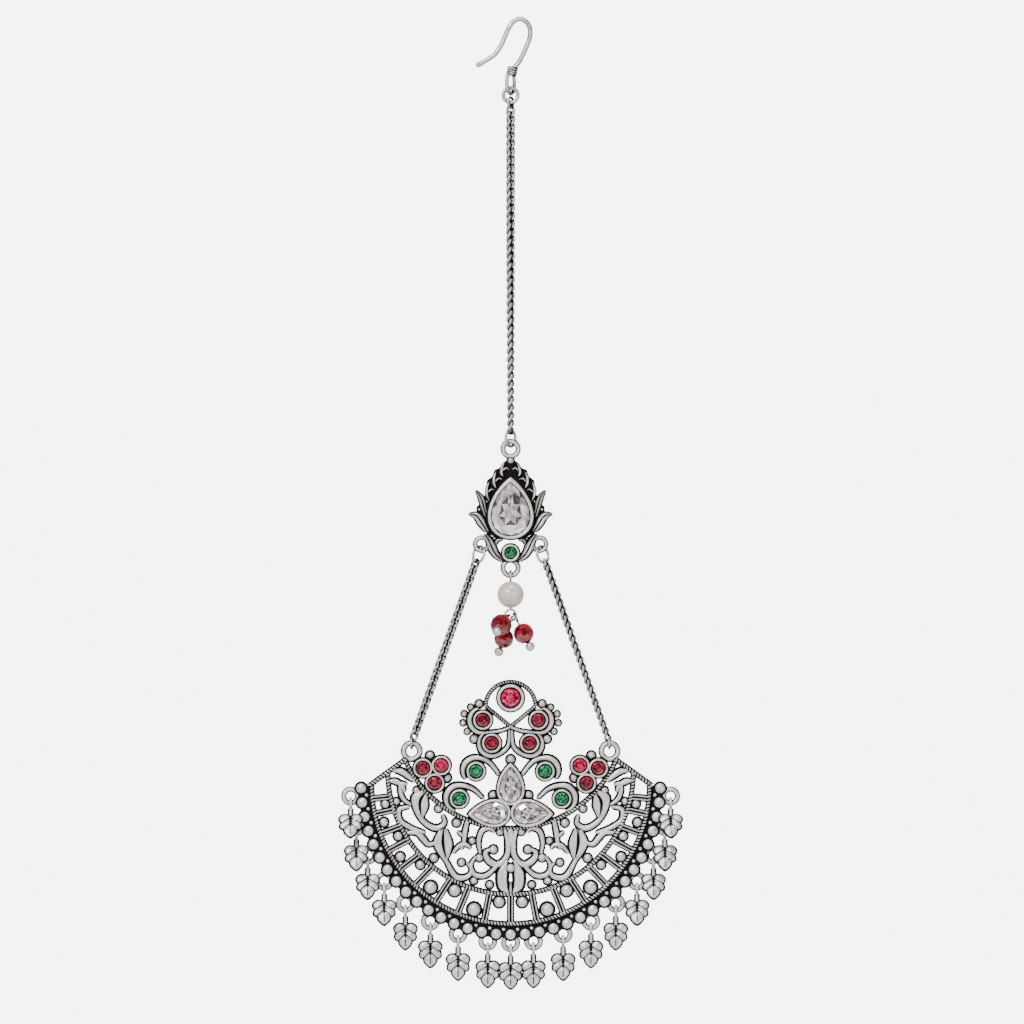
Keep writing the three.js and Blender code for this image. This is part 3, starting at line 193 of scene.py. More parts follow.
@dataclass
class Draft:
    """One piece being made: points in millimetres with their tones, and faces with their glints."""

    points: list[Vector] = field(default_factory=list)
    faces: list[tuple[int, ...]] = field(default_factory=list)
    tones: list[float] = field(default_factory=list)
    glints: list[float] = field(default_factory=list)

    def face(self, *corners: int, glint: float = 0.5) -> None:
        """Adds one face."""
        self.faces.append(corners)
        self.glints.append(glint)

    def point(self, place: Sequence[float], tone: float = 0.0) -> int:
        """Adds one point and returns its number.

        Args:
            place: Where it is, in millimetres.
            tone: From 0, bright, to 1, black.

        Returns:
            The point's number.
        """
        self.points.append(Vector(place))
        self.tones.append(tone)
        return len(self.points) - 1

    def rows(self, rows: Sequence[Sequence[tuple[Sequence[float], float]]], closed: bool = False) -> None:
        """Joins rings of points into a skin.

        Args:
            rows: Rings with the same number of places, each place with its tone.
            closed: Whether the last ring meets the first; if not, both ends are capped.
        """
        size = len(rows[0])
        first = len(self.points)
        for row in rows:
            for place, tone in row:
                self.point(place, tone)
        for i in range(len(rows) if closed else len(rows) - 1):
            a, b = first + i * size, first + (i + 1) % len(rows) * size
            for k in range(size):
                n = (k + 1) % size
                self.face(a + k, a + n, b + n, b + k)
        if not closed:
            self.face(*range(first, first + size))
            last = first + (len(rows) - 1) * size
            self.face(*range(last + size - 1, last - 1, -1))

    def sweep(
        self,
        path: Sequence[Sequence[float]],
        widths: Sequence[float],
        section: Profile,
        back: float,
        front: float,
        milled: bool = False,
        blunt: bool = True,
        outline: float = OUTLINE,
    ) -> None:
        """Lays a section along a line in the face.

        Args:
            path: Close places along the middle line.
            widths: Widths spread evenly over the line.
            section: The cross section.
            back: Depth of the section's foot.
            front: Depth of its crest.
            milled: Whether slanting cuts cross it at every fourth place.
            blunt: Whether the ends are rounded off.
            outline: Black edge left showing on each side.
        """
        line = [Vector(place[:2]) for place in path]
        reach = [0.0]
        for a, b in zip(line, line[1:]):
            reach.append(reach[-1] + (b - a).length)
        # the dark underlay shows as an outline: oxide at the joint and painted shade for the work's sides
        if section is not Profile.FLAT:
            wide = [width + 2 * outline for width in widths]
            crest = mix(back, front, UNDERLAY[1])
            self.sweep(path, wide, Profile.FLAT, back + UNDERLAY[0], crest, blunt=blunt)
        back += STAGGER * (len(self.points) % 7)
        rows = []
        for i, place in enumerate(line):
            way = (line[min(i + 1, len(line) - 1)] - line[max(i - 1, 0)]).normalized()
            share = i / (len(line) - 1) * (len(widths) - 1)
            low = min(int(share), len(widths) - 2)
            half = mix(widths[low], widths[low + 1], share - low) / 2
            lift = 1.0
            if blunt:
                near = min(reach[i], reach[-1] - reach[i]) / max(half, 0.05)
                lift = math.sqrt(max(1 - (1 - min(near, 1)) ** 2, 0.06))
            cut = (1.0, 1.0, 0.0, 0.0)[i % 4] if milled else 0.0
            slant = 0.45 * half if milled else 0.0
            row = []
            for u, v, tone in section.value:
                raised = v * (1 - 0.22 * cut if v > 0.7 else 1.0) * mix(0.6, 1, lift)
                side = u * half * lift * (1 - 0.06 * cut)
                along = way * (u * slant)
                x, y = place.x + way.y * side + along.x, place.y - way.x * side + along.y
                row.append(((x, y, mix(back, front, raised)), max(tone, cut)))
            rows.append(row)
        self.rows(rows)

    def stroke(self, stops: Sequence[Flat], widths: Sequence[float], section: Profile, back: float,
               front: float, outline: float = OUTLINE) -> None:
        """Sweeps a section along a smooth line through a few stops.

        Args:
            stops: Places that the line runs through.
            widths: Widths spread evenly over the line.
            section: The cross section.
            back: Depth of its foot.
            front: Depth of its crest.
            outline: Black edge left showing on each side.
        """
        span = sum(math.dist(a, b) for a, b in zip(stops, stops[1:]))
        line = smooth([(x, y, 0) for x, y in stops], max(int(span / 0.22), 12))
        self.sweep(line, widths, section, back, front, outline=outline)

    def lathe(self, x: float, y: float, profile: Sequence[Sequence[float]], sides: int = 32) -> None:
        """Turns a profile of radius, depth and tone about the depth axis at a place.

        Args:
            x: Its place, to the right.
            y: Its place, up.
            profile: Radius, depth and tone of each ring.
            sides: Sides round its axis.
        """
        rows = []
        for r, z, tone in profile:
            out = max(r, 0.001)
            rows.append([((x + out * math.cos(t), y + out * math.sin(t), z), tone) for t in turns(sides)])
        self.rows(rows)

    def bead(self, x: float, y: float, diameter: float, back: float, rise: float) -> None:
        """A soldered bead: bright on top, black where it meets the plate, as oxide in the seam and painted
        shade on its sides.

        Args:
            x: Its place, to the right.
            y: Its place, up.
            diameter: Its width.
            back: Depth of its foot.
            rise: Its height over the foot.
        """
        # the lower rings, seen side-on from the front, are painted black: oxide at the seam and painted shade
        # on the sides
        tones = (1, 1, 1, 0.8, 0.25, 0, 0, 0, 0)
        dome = []
        for k, tone in enumerate(tones):
            a = rad(k * 11.25)
            dome.append((diameter / 2 * math.cos(a), back + rise * math.sin(a), tone))
        skirt = diameter / 2 + OUTLINE * 0.8
        foot = [(0.0, back - 0.05, 1.0), (skirt, back - 0.05, 1.0), (skirt, back + rise * 0.16, 1.0)]
        self.lathe(x, y, [*foot, (diameter / 2, back + rise * 0.2, 1.0), *dome[1:]], 20)

    def ring(self, x: float, y: float, outer: float, hole: float, depth: float, thick: float) -> None:
        """A cast loop of rounded section lying in the face, on a black strip and with its edges painted dark:
        oxide at the joint and painted shade at the edges.

        Args:
            x: Its place, to the right.
            y: Its place, up.
            outer: Its outer diameter.
            hole: The width of its hole.
            depth: Depth of its middle.
            thick: From its front to its back.
        """
        middle, half = (outer + hole) / 4, (outer - hole) / 4
        wide = half + OUTLINE * 0.8
        flat = ((middle - wide, -0.12), (middle + wide, -0.12), (middle + wide, 0.0), (middle - wide, 0.0))
        strip, wire = [], []
        for t in turns(36):
            strip.append([((x + r * math.cos(t), y + r * math.sin(t), depth + z), 1.0) for r, z in flat])
            row = []
            for s in turns(10):
                out = middle + half * math.cos(s)
                spot = (x + out * math.cos(t), y + out * math.sin(t), depth + thick / 2 * math.sin(s))
                # edges seen side-on from the front get painted shade
                row.append((spot, max(0.0, abs(math.cos(s)) * 3.2 - 2.1)))
            wire.append(row)
        self.rows(strip, closed=True)
        self.rows(wire, closed=True)

    def tube(self, path: Sequence[Vector], radii: Sequence[float], sides: int = 10, closed: bool = False,
             tone: float = 0.0, flank: float = 0.0) -> None:
        """A round wire along a line in space.

        Args:
            path: Close places along the wire's middle.
            radii: Radii spread evenly over the line.
            sides: Sides of the wire.
            closed: Whether the wire's end meets its start.
            tone: Its tone on the face and back.
            flank: How much darker its flanks are: oxide, and painted shade where the wire is seen side-on
                from the front.
        """
        count = len(path)
        rows = []
        across = None
        for i, place in enumerate(path):
            ahead = path[(i + 1) % count] if closed else path[min(i + 1, count - 1)]
            behind = path[i - 1] if closed or i else path[0]
            way = (ahead - behind).normalized()
            if across is None:
                across = way.orthogonal().normalized()
            across = (across - way * across.dot(way)).normalized()
            up = way.cross(across)
            share = i / max(count - 1, 1) * (len(radii) - 1)
            low = min(int(share), max(len(radii) - 2, 0))
            r = mix(radii[low], radii[min(low + 1, len(radii) - 1)], share - low)
            row = []
            for s in turns(sides):
                out = across * math.cos(s) + up * math.sin(s)
                # flanks seen side-on from the front are painted darker, as shade
                row.append((place + out * r, tone + flank * clamp(5 - 5 * abs(out.y))))
            rows.append(row)
        self.rows(rows, closed)

    def ball(self, place: Vector, diameter: float, hole: float = 0.0, sides: int = 28,
             axis: Vector = Vector((0, 0, 1)), tone: float = 0.0, bands: int = 16) -> None:
        """A ball, drilled through along an axis where a hole is given.

        Args:
            place: Its middle.
            diameter: Its width.
            hole: The width of its hole.
            sides: Sides round its axis.
            axis: The way of its hole.
            tone: From 0, bright, to 1, black.
            bands: Bands from end to end.
        """
        r = diameter / 2
        start = math.asin(min(hole / diameter, 1)) if hole else 0.02
        turn = Vector((0, 0, 1)).rotation_difference(axis).to_matrix()
        rows = []
        for i in range(bands + 1):
            a = mix(start, math.pi - start, i / bands)
            row = []
            for t in turns(sides):
                out = Vector((math.sin(a) * math.cos(t), math.sin(a) * math.sin(t), math.cos(a)))
                row.append((place + turn @ out * r, tone))
            rows.append(row)
        self.rows(rows, closed=bool(hole))

    def stone(self, outline: Callable[[float, int, float], list[Flat]], foot: float, girdle: float,
              table: float, seed: int) -> None:
        """A cut stone: pavilion, girdle, sixteen crown facets, kites, and a flat table split into facets
        whose painted glints stand for the cuts seen through it.

        Args:
            outline: Gives the outline at a share of its size, with a count of points and an offset.
            foot: Depth of the pavilion's foot.
            girdle: Depth of the girdle's upper edge.
            table: Depth of the table.
            seed: Picks how bright each facet's painted glint is.
        """
        chance = random.Random(seed)

        def ring(share: float, count: int, offset: float, depth: float) -> list[int]:
            """One ring of corners."""
            return [self.point((x, y, depth)) for x, y in outline(share, count, offset)]

        def shade(low: float, high: float) -> float:
            """How bright one facet's painted glint is."""
            return mix(low, high, chance.random())

        low, edge = ring(0.62, 16, 0, foot), ring(1, 16, 0, girdle - 0.2)
        rim, kites = ring(1, 16, 0, girdle), ring(0.83, 16, 0.5, mix(girdle, table, 0.55))
        flat, heart = ring(0.62, 8, 0.5, table), ring(0.34, 8, 0, table)
        middle = self.point((*[sum(c) / 8 for c in zip(*outline(0.34, 8, 0))], table))
        self.face(*low, glint=0.2)
        for i in range(16):
            n = (i + 1) % 16
            self.face(low[i], low[n], edge[n], edge[i], glint=0.25)
            self.face(edge[i], edge[n], rim[n], rim[i], glint=0.4)
            self.face(rim[i], rim[n], kites[i], glint=shade(0.15, 0.75))
            self.face(kites[i], rim[n], kites[n], glint=shade(0.25, 0.9))
        for i in range(8):
            n = (i + 1) % 8
            self.face(kites[2 * i], kites[2 * i + 1], flat[i], glint=shade(0.3, 1))
            self.face(kites[2 * i + 1], kites[(2 * i + 2) % 16], flat[n], flat[i], glint=shade(0.15, 0.7))
            self.face(flat[i], flat[n], heart[n], glint=shade(0.05, 0.35))
            self.face(flat[i], heart[n], heart[i], glint=shade(0.45, 1))
            self.face(heart[i], heart[n], middle, glint=shade(0.55, 1) if i % 2 else shade(0.2, 0.6))

    def make(self, name: str, body: str, finish: bpy.types.Material, slot: str = "silver",
             nodes: Sequence[str] = (), place: Matrix = Matrix.Identity(4),
             sharp: float = 50.0) -> bpy.types.Object:
        """Makes the piece, lets it ride on a body and stand for its nodes.

        Args:
            name: The piece's name.
            body: The body that it rides on.
            finish: Its material.
            slot: The record's material slot; not used.
            nodes: The solids that it stands for.
            place: Where it goes, in millimetres.
            sharp: Edges bent by more degrees than this stay crisp.

        Returns:
            The new object.
        """
        mesh = bpy.data.meshes.new(name)
        mesh.from_pydata([place @ p * MM for p in self.points], [], self.faces)
        tone = mesh.attributes.new("tone", "FLOAT", "POINT")
        tone.data.foreach_set("value", self.tones)
        glint = mesh.attributes.new("glint", "FLOAT", "FACE")
        glint.data.foreach_set("value", self.glints)
        work = bmesh.new()
        work.from_mesh(mesh)
        bmesh.ops.recalc_face_normals(work, faces=work.faces)
        work.normal_update()
        tones = work.verts.layers.float["tone"]
        for corner in work.verts:
            if any(face.normal.y > FACES_BACK for face in corner.link_faces):
                corner[tones] = min(corner[tones], BACK_TONE)
        work.to_mesh(mesh)
        work.free()
        mesh.shade_smooth()
        mesh.set_sharp_from_angle(angle=rad(sharp))
        mesh.materials.append(finish)
        piece = bpy.data.objects.new(name, mesh)
        bpy.context.scene.collection.objects.link(piece)
        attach(piece, body)
        if nodes:
            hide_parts(*nodes)
        LOG.info("%s: %d faces", name, len(mesh.polygons))
        return piece


def upright(height: float) -> Matrix:
    """Stands a face drawing, x right, y up and depth forward, at a height on the jewel's middle line."""
    return Matrix.Translation((AXIS_X, 0, height)) @ Matrix.Rotation(math.pi / 2, 4, "X")


# Finishes


class NodeSheet:
    """Shorthand for wiring a node tree."""

    def __init__(self, tree: bpy.types.NodeTree) -> None:
        """Keeps the tree."""
        self.tree = tree

    def add(self, kind: str, **settings: object) -> bpy.types.Node:
        """Adds a node and sets its options; a name that is one of its inputs is set or linked.

        Args:
            kind: The node's type.
            settings: Its options, and its inputs with _ for each space.

        Returns:
            The new node.
        """
        node = self.tree.nodes.new(kind)
        for key, value in settings.items():
            if hasattr(node, key):
                setattr(node, key, value)
            else:
                self.feed(node.inputs[key.replace("_", " ")], value)
        return node

    def feed(self, socket: bpy.types.NodeSocket, value: object) -> None:
        """Links a socket to an output, or sets its value."""
        if isinstance(value, bpy.types.NodeSocket):
            self.tree.links.new(value, socket)
        else:
            socket.default_value = value

    def maths(self, operation: str, *values: object) -> bpy.types.NodeSocket:
        """A maths node's result.

        Args:
            operation: What the node does.
            values: What its inputs are set or linked to.

        Returns:
            Its result.
        """
        node = self.add("ShaderNodeMath", operation=operation)
        for socket, value in zip(node.inputs, values):
            self.feed(socket, value)
        return node.outputs[0]

    def blend(self, share: object, a: object, b: object) -> bpy.types.NodeSocket:
        """A colour mixed from two.

        Args:
            share: How much of the second is in it.
            a: The first colour.
            b: The second colour.

        Returns:
            The mixed colour.
        """
        node = self.add("ShaderNodeMix", data_type="RGBA")
        for index, value in ((0, share), (6, a), (7, b)):
            self.feed(node.inputs[index], value)
        return node.outputs[2]


def blank(name: str) -> tuple[bpy.types.Material, NodeSheet, bpy.types.Node]:
    """A new material, a sheet to wire it with and its Principled BSDF.

    Args:
        name: Its name.

    Returns:
        The material, a sheet to wire it with and its Principled BSDF.
    """
    made = bpy.data.materials.new(name)
    made.use_nodes = True
    return made, NodeSheet(made.node_tree), made.node_tree.nodes["Principled BSDF"]


def group(name: str, inputs: dict[str, float],
          outputs: Sequence[str]) -> tuple[bpy.types.NodeTree, NodeSheet]:
    """A new shader node group with named float sockets.

    Args:
        name: The group's name.
        inputs: Input names with their first values.
        outputs: Output names.

    Returns:
        The group and a sheet to wire it with.
    """
    tree = bpy.data.node_groups.new(name, "ShaderNodeTree")
    for label, value in inputs.items():
        socket = tree.interface.new_socket(name=label, in_out="INPUT", socket_type="NodeSocketFloat")
        socket.default_value = value
    for label in outputs:
        tree.interface.new_socket(name=label, in_out="OUTPUT", socket_type="NodeSocketFloat")
    return tree, NodeSheet(tree)


def oxide_and_shade_group() -> bpy.types.NodeTree:
    """Where black oxide stays: in the recesses, unevenly, with faint clouds on the open metal; the Tone input
    also brings painted shade on flanks and side walls.

    Returns:
        The group.
    """
    inputs = {"Tone": 0.0, "Shelter": 0.0, "Cloud Scale": 900.0, "Clouds": 0.12}
    tree, sheet = group("Oxide And Painted Shade", inputs, ["Mask"])
    given, result = sheet.add("NodeGroupInput"), sheet.add("NodeGroupOutput")
    place = sheet.add("ShaderNodeTexCoord").outputs["Object"]
    cloud = sheet.add("ShaderNodeTexNoise", Vector=place, Scale=given.outputs["Cloud Scale"], Detail=4.0)
    fine = sheet.add("ShaderNodeTexNoise", Vector=place, Scale=5200.0, Detail=3.0)
    deep = sheet.maths("MAXIMUM", given.outputs["Tone"], given.outputs["Shelter"])
    jitter = sheet.maths("MULTIPLY", sheet.maths("SUBTRACT", fine.outputs["Fac"], 0.5), 0.5)
    edge = sheet.add("ShaderNodeMapRange", interpolation_type="SMOOTHSTEP",
                     Value=sheet.maths("ADD", deep, jitter), From_Min=0.36, From_Max=0.78)
    haze = sheet.maths("MULTIPLY", cloud.outputs["Fac"], given.outputs["Clouds"])
    pits = sheet.add("ShaderNodeMapRange", Value=fine.outputs["Fac"], From_Min=0.52, From_Max=0.72,
                     To_Max=0.5)
    haze = sheet.maths("ADD", haze, sheet.maths("MULTIPLY", pits.outputs["Result"], given.outputs["Clouds"]))
    sheet.feed(result.inputs["Mask"], sheet.maths("MAXIMUM", edge.outputs["Result"], haze))
    return tree


def casting_group() -> bpy.types.NodeTree:
    """The fine unevenness of cast and tumbled metal, as a height and a roughness shift.

    Returns:
        The group.
    """
    tree, sheet = group("Cast Surface", {"Grain Scale": 2600.0, "Scratch Scale": 1400.0}, ["Height", "Shift"])
    given, result = sheet.add("NodeGroupInput"), sheet.add("NodeGroupOutput")
    place = sheet.add("ShaderNodeTexCoord").outputs["Object"]
    grain = sheet.add("ShaderNodeTexNoise", Vector=place, Scale=given.outputs["Grain Scale"], Detail=5.0,
                      Roughness=0.6)
    stretch = sheet.add("ShaderNodeMapping", Vector=place, Rotation=(0.4, 0.7, 0.5), Scale=(1.0, 9.0, 1.0))
    lines = sheet.add("ShaderNodeTexNoise", Vector=stretch.outputs[0], Scale=given.outputs["Scratch Scale"],
                      Detail=2.0)
    both = sheet.maths("ADD", grain.outputs["Fac"], sheet.maths("MULTIPLY", lines.outputs["Fac"], 0.5))
    sheet.feed(result.inputs["Height"], both)
    sheet.feed(result.inputs["Shift"], sheet.maths("MULTIPLY", lines.outputs["Fac"], 0.12))
    return tree


@dataclass(frozen=True)
class AntiqueSilver:
    """Polished white metal, blackened by oxide in its recesses and by painted shade on its flanks and side
    walls.
    """

    name: str
    bright: Colour = (0.74, 0.725, 0.7, 1)
    # the black of oxide, also used for the painted shade on flanks and side walls
    oxide: Colour = (0.006, 0.005, 0.004, 1)
    roughness: float = 0.27
    shelter: float = 1.5
    reach: float = 0.0006
    clouds: float = 0.4

    def material(self, tarnish: bpy.types.NodeTree, casting: bpy.types.NodeTree) -> bpy.types.Material:
        """The finish as a material.

        Args:
            tarnish: The group for oxide and painted shade.
            casting: The cast surface group.

        Returns:
            The material.
        """
        made, sheet, shader = blank(self.name)
        tone = sheet.add("ShaderNodeAttribute", attribute_name="tone").outputs["Fac"]
        shade = sheet.add("ShaderNodeAmbientOcclusion", samples=6, Distance=self.reach)
        shelter = sheet.maths("MULTIPLY", sheet.maths("SUBTRACT", 1.0, shade.outputs["AO"]), self.shelter)
        # the mask blends oxide in the recesses with painted shade on the flanks
        oxide_and_shade_node = sheet.add("ShaderNodeGroup", node_tree=tarnish)
        for label, value in (("Tone", tone), ("Shelter", shelter), ("Clouds", self.clouds)):
            sheet.feed(oxide_and_shade_node.inputs[label], value)
        mask = oxide_and_shade_node.outputs["Mask"]
        skin = sheet.add("ShaderNodeGroup", node_tree=casting)
        rough = sheet.maths("ADD", self.roughness, skin.outputs["Shift"])
        sheet.feed(shader.inputs["Base Color"], sheet.blend(mask, self.bright, self.oxide))
        sheet.feed(shader.inputs["Roughness"], sheet.maths("ADD", rough, sheet.maths("MULTIPLY", mask, 0.25)))
        dull = sheet.maths("MULTIPLY", mask, 0.7)
        sheet.feed(shader.inputs["Metallic"], sheet.maths("SUBTRACT", 1.0, dull))
        shader.inputs["Specular IOR Level"].default_value = 0.2
        shader.inputs["Specular Tint"].default_value = (0.4, 0.385, 0.37, 1)
        bump = sheet.add("ShaderNodeBump", Strength=0.7, Distance=0.00014, Height=skin.outputs["Height"])
        sheet.feed(shader.inputs["Normal"], bump.outputs[0])
        return made


@dataclass(frozen=True)
class FoiledStone:
    """Cut glass over bright foil, each facet's light and shade painted into its colour as a glint."""

    name: str
    # dark, body and flash are the facets' painted shade, mid colour and painted highlight
    dark: Colour
    body: Colour
    flash: Colour
    metal: float = 0.35
    coat: float = 0.45

    def material(self) -> bpy.types.Material:
        """The finish as a material.

        Returns:
            The material.
        """
        made, sheet, shader = blank(self.name)
        glint = sheet.add("ShaderNodeAttribute", attribute_name="glint").outputs["Fac"]
        place = sheet.add("ShaderNodeTexCoord").outputs["Object"]
        # a fine cell pattern adds painted reflections of the pavilion seen through the table
        cells = sheet.add("ShaderNodeTexVoronoi", Vector=place, Scale=1300.0)
        shift = sheet.maths("SUBTRACT", cells.outputs["Color"], 0.5)
        spark = sheet.maths("ADD", glint, sheet.maths("MULTIPLY", shift, 0.35))
        ramp = sheet.add("ShaderNodeValToRGB", Fac=spark)
        stops = ramp.color_ramp.elements
        stops[0].position, stops[0].color = 0.12, self.dark
        stops[1].position, stops[1].color = 0.92, self.flash
        stops.new(0.5).color = self.body
        sheet.feed(shader.inputs["Base Color"], ramp.outputs[0])
        sheet.feed(shader.inputs["Roughness"], sheet.maths("MULTIPLY", glint, 0.12))
        shader.inputs["Metallic"].default_value = self.metal
        shader.inputs["IOR"].default_value = 1.6
        shader.inputs["Coat Weight"].default_value = self.coat
        shader.inputs["Coat Roughness"].default_value = 0.03
        return made


@dataclass(frozen=True)
class GlossyBody:
    """A smooth opaque bead with slight unevenness of colour and skin."""

    name: str
    base: Colour
    cloud: Colour
    roughness: float
    scale: float
    coat: float

    def material(self) -> bpy.types.Material:
        """The finish as a material.

        Returns:
            The material.
        """
        made, sheet, shader = blank(self.name)
        place = sheet.add("ShaderNodeTexCoord").outputs["Object"]
        cloud = sheet.add("ShaderNodeTexNoise", Vector=place, Scale=self.scale, Detail=3.0)
        sheet.feed(shader.inputs["Base Color"], sheet.blend(cloud.outputs["Fac"], self.base, self.cloud))
        uneven = sheet.maths("MULTIPLY", cloud.outputs["Fac"], 0.1)
        sheet.feed(shader.inputs["Roughness"], sheet.maths("ADD", self.roughness, uneven))
        shader.inputs["Coat Weight"].default_value = self.coat
        shader.inputs["Coat Roughness"].default_value = 0.08
        bump = sheet.add("ShaderNodeBump", Strength=0.1, Distance=0.00004, Height=cloud.outputs["Fac"])
        sheet.feed(shader.inputs["Normal"], bump.outputs[0])
        return made


@dataclass
class Finishes:
    """Every material of the jewel, made once."""

    silver: bpy.types.Material = field(init=False)
    wire: bpy.types.Material = field(init=False)
    chain: bpy.types.Material = field(init=False)
    clear: bpy.types.Material = field(init=False)
    ruby: bpy.types.Material = field(init=False)
    wine: bpy.types.Material = field(init=False)
    green: bpy.types.Material = field(init=False)
    red: bpy.types.Material = field(init=False)
    pearl: bpy.types.Material = field(init=False)

    def __post_init__(self) -> None:
        """Makes the materials."""
        tarnish, casting = oxide_and_shade_group(), casting_group()
        self.silver = AntiqueSilver("antique_silver").material(tarnish, casting)
        self.wire = AntiqueSilver("polished_wire", (0.6, 0.585, 0.565, 1), roughness=0.24, shelter=1.4,
                                  reach=0.0006, clouds=0.35).material(tarnish, casting)
        self.chain = AntiqueSilver("oxidised_chain", (0.42, 0.41, 0.39, 1), roughness=0.28, shelter=2.4,
                                   reach=0.0009, clouds=0.35).material(tarnish, casting)
        self.clear = FoiledStone("clear_crystal", (0.07, 0.055, 0.055, 1), (0.4, 0.36, 0.36, 1),
                                 (0.98, 0.95, 0.94, 1), 0.5).material()
        self.ruby = FoiledStone("ruby_glass", (0.1, 0.0, 0.012, 1), (0.38, 0.0, 0.045, 1),
                                (0.85, 0.06, 0.16, 1)).material()
        self.wine = FoiledStone("wine_glass", (0.03, 0.0, 0.004, 1), (0.14, 0.001, 0.016, 1),
                                (0.5, 0.05, 0.08, 1)).material()
        self.green = FoiledStone("green_glass", (0.001, 0.012, 0.006, 1), (0.002, 0.09, 0.03, 1),
                                 (0.04, 0.5, 0.2, 1)).material()
        self.red = FoiledStone("red_bead_glass", (0.055, 0.0, 0.002, 1), (0.12, 0.001, 0.006, 1),
                               (0.25, 0.004, 0.014, 1), 0.1, 0.15).material()
        self.pearl = GlossyBody("pearl_satin", (0.38, 0.34, 0.3, 1), (0.5, 0.455, 0.415, 1), 0.26, 420.0,
                                0.4).material()


# Sub-assemblies


@dataclass
class HookAndRings:
    """The hair hook with its binding and foot loop, and every free ring."""

    reach: float = 7.6
    drop: float = 9.0
    wire: float = 0.9
    loop: Flat = (2.9, 4.0)
    loop_wire: float = 0.72
    loop_turn: float = 62.0
    flank: float = 0.66
    bound_x: float = 0.25
    coil_wire: float = 0.32
    coil_turns: float = 3.8
    coil_lean: float = 14.0

    def hook(self, finishes: Finishes) -> None:
        """Bends the hook.

        Args:
            finishes: The jewel's materials.
        """
        route = (
            (-0.19, 0.98), (-0.02, 0.82), (0.13, 0.57), (0.24, 0.33), (0.25, 0.15), (0.16, 0.01), (0, -0.05),
            (-0.15, 0.01), (-0.26, 0.14), (-0.34, 0.3), (-0.44, 0.48), (-0.6, 0.67), (-0.81, 0.79),
            (-0.97, 0.87),
        )
        draft = Draft()
        line = smooth([(x * self.reach, 0, -y * self.drop) for x, y in route], 90)
        half = self.wire / 2
        draft.tube(line, [half] * 12 + [half * 0.92, half * 1.06], WIRE_SIDES, flank=0.72)
        draft.ball(line[-1], self.wire * 1.08, tone=0.1)
        turn = Matrix.Rotation(rad(self.loop_turn), 3, "Z")
        middle = Vector((AXIS_X, 0, -self.drop - self.loop[1] / 2))
        line = hoop(middle, self.loop[0] / 2, self.loop[1] / 2, turn, 44)
        draft.tube(line, [self.loop_wire / 2], WIRE_SIDES, closed=True, flank=self.flank)
        bound = Vector((AXIS_X + self.bound_x, 0, -self.drop))
        lean = Matrix.Rotation(rad(self.coil_lean), 3, "Y")
        coil = []
        for k in range(150):
            share = k / 149
            t = share * 2 * math.pi * self.coil_turns
            wound = Vector((0.88 * math.cos(t), 0.86 * math.sin(t), mix(0.78, -0.78, share)))
            coil.append(bound + lean @ wound)
        draft.tube(coil, [self.coil_wire / 2], 8, flank=0.7)
        # a black rod inside the binding is painted shade between its turns
        draft.tube([bound + lean @ Vector((0, 0, z)) for z in (0.85, 0, -0.85)], [0.72], 14, tone=1)
        draft.make("hook_wire", UPPER, finishes.wire, nodes=["hook"])

    def rings(self, finishes: Finishes) -> None:
        """Bends the free rings and links.

        Args:
            finishes: The jewel's materials.
        """
        table = [
            ("top_ring", 0.0, -13.28, 1.3, 0.72, 0, 0), ("top_link", 0.0, -14.62, 0.95, 0.5, 62, 0),
            ("medallion_ring", 0.0, -75.05, 1.45, 0.56, 54, 0),
        ]
        table += [(f"side_ring_{word}", side * SIDE_RING[0], SIDE_RING[1], 1.5, 0.52, side * 50, side * -18)
                  for side, word in SIDES]
        table += [(f"end_link_{word}", side * END_LINK[0], END_LINK[1], 1.0, 0.5, 84, 0)
                  for side, word in SIDES]
        for name, x, z, radius, wire, turn, tilt in table:
            draft = Draft()
            way = Matrix.Rotation(rad(tilt), 3, "Y") @ Matrix.Rotation(rad(turn), 3, "Z")
            draft.tube(hoop(Vector((AXIS_X + x, 0, z)), radius, radius, way, 40), [wire / 2], WIRE_SIDES,
                       closed=True, flank=self.flank)
            draft.make(f"{name}_wire", UPPER, finishes.wire, nodes=[name])


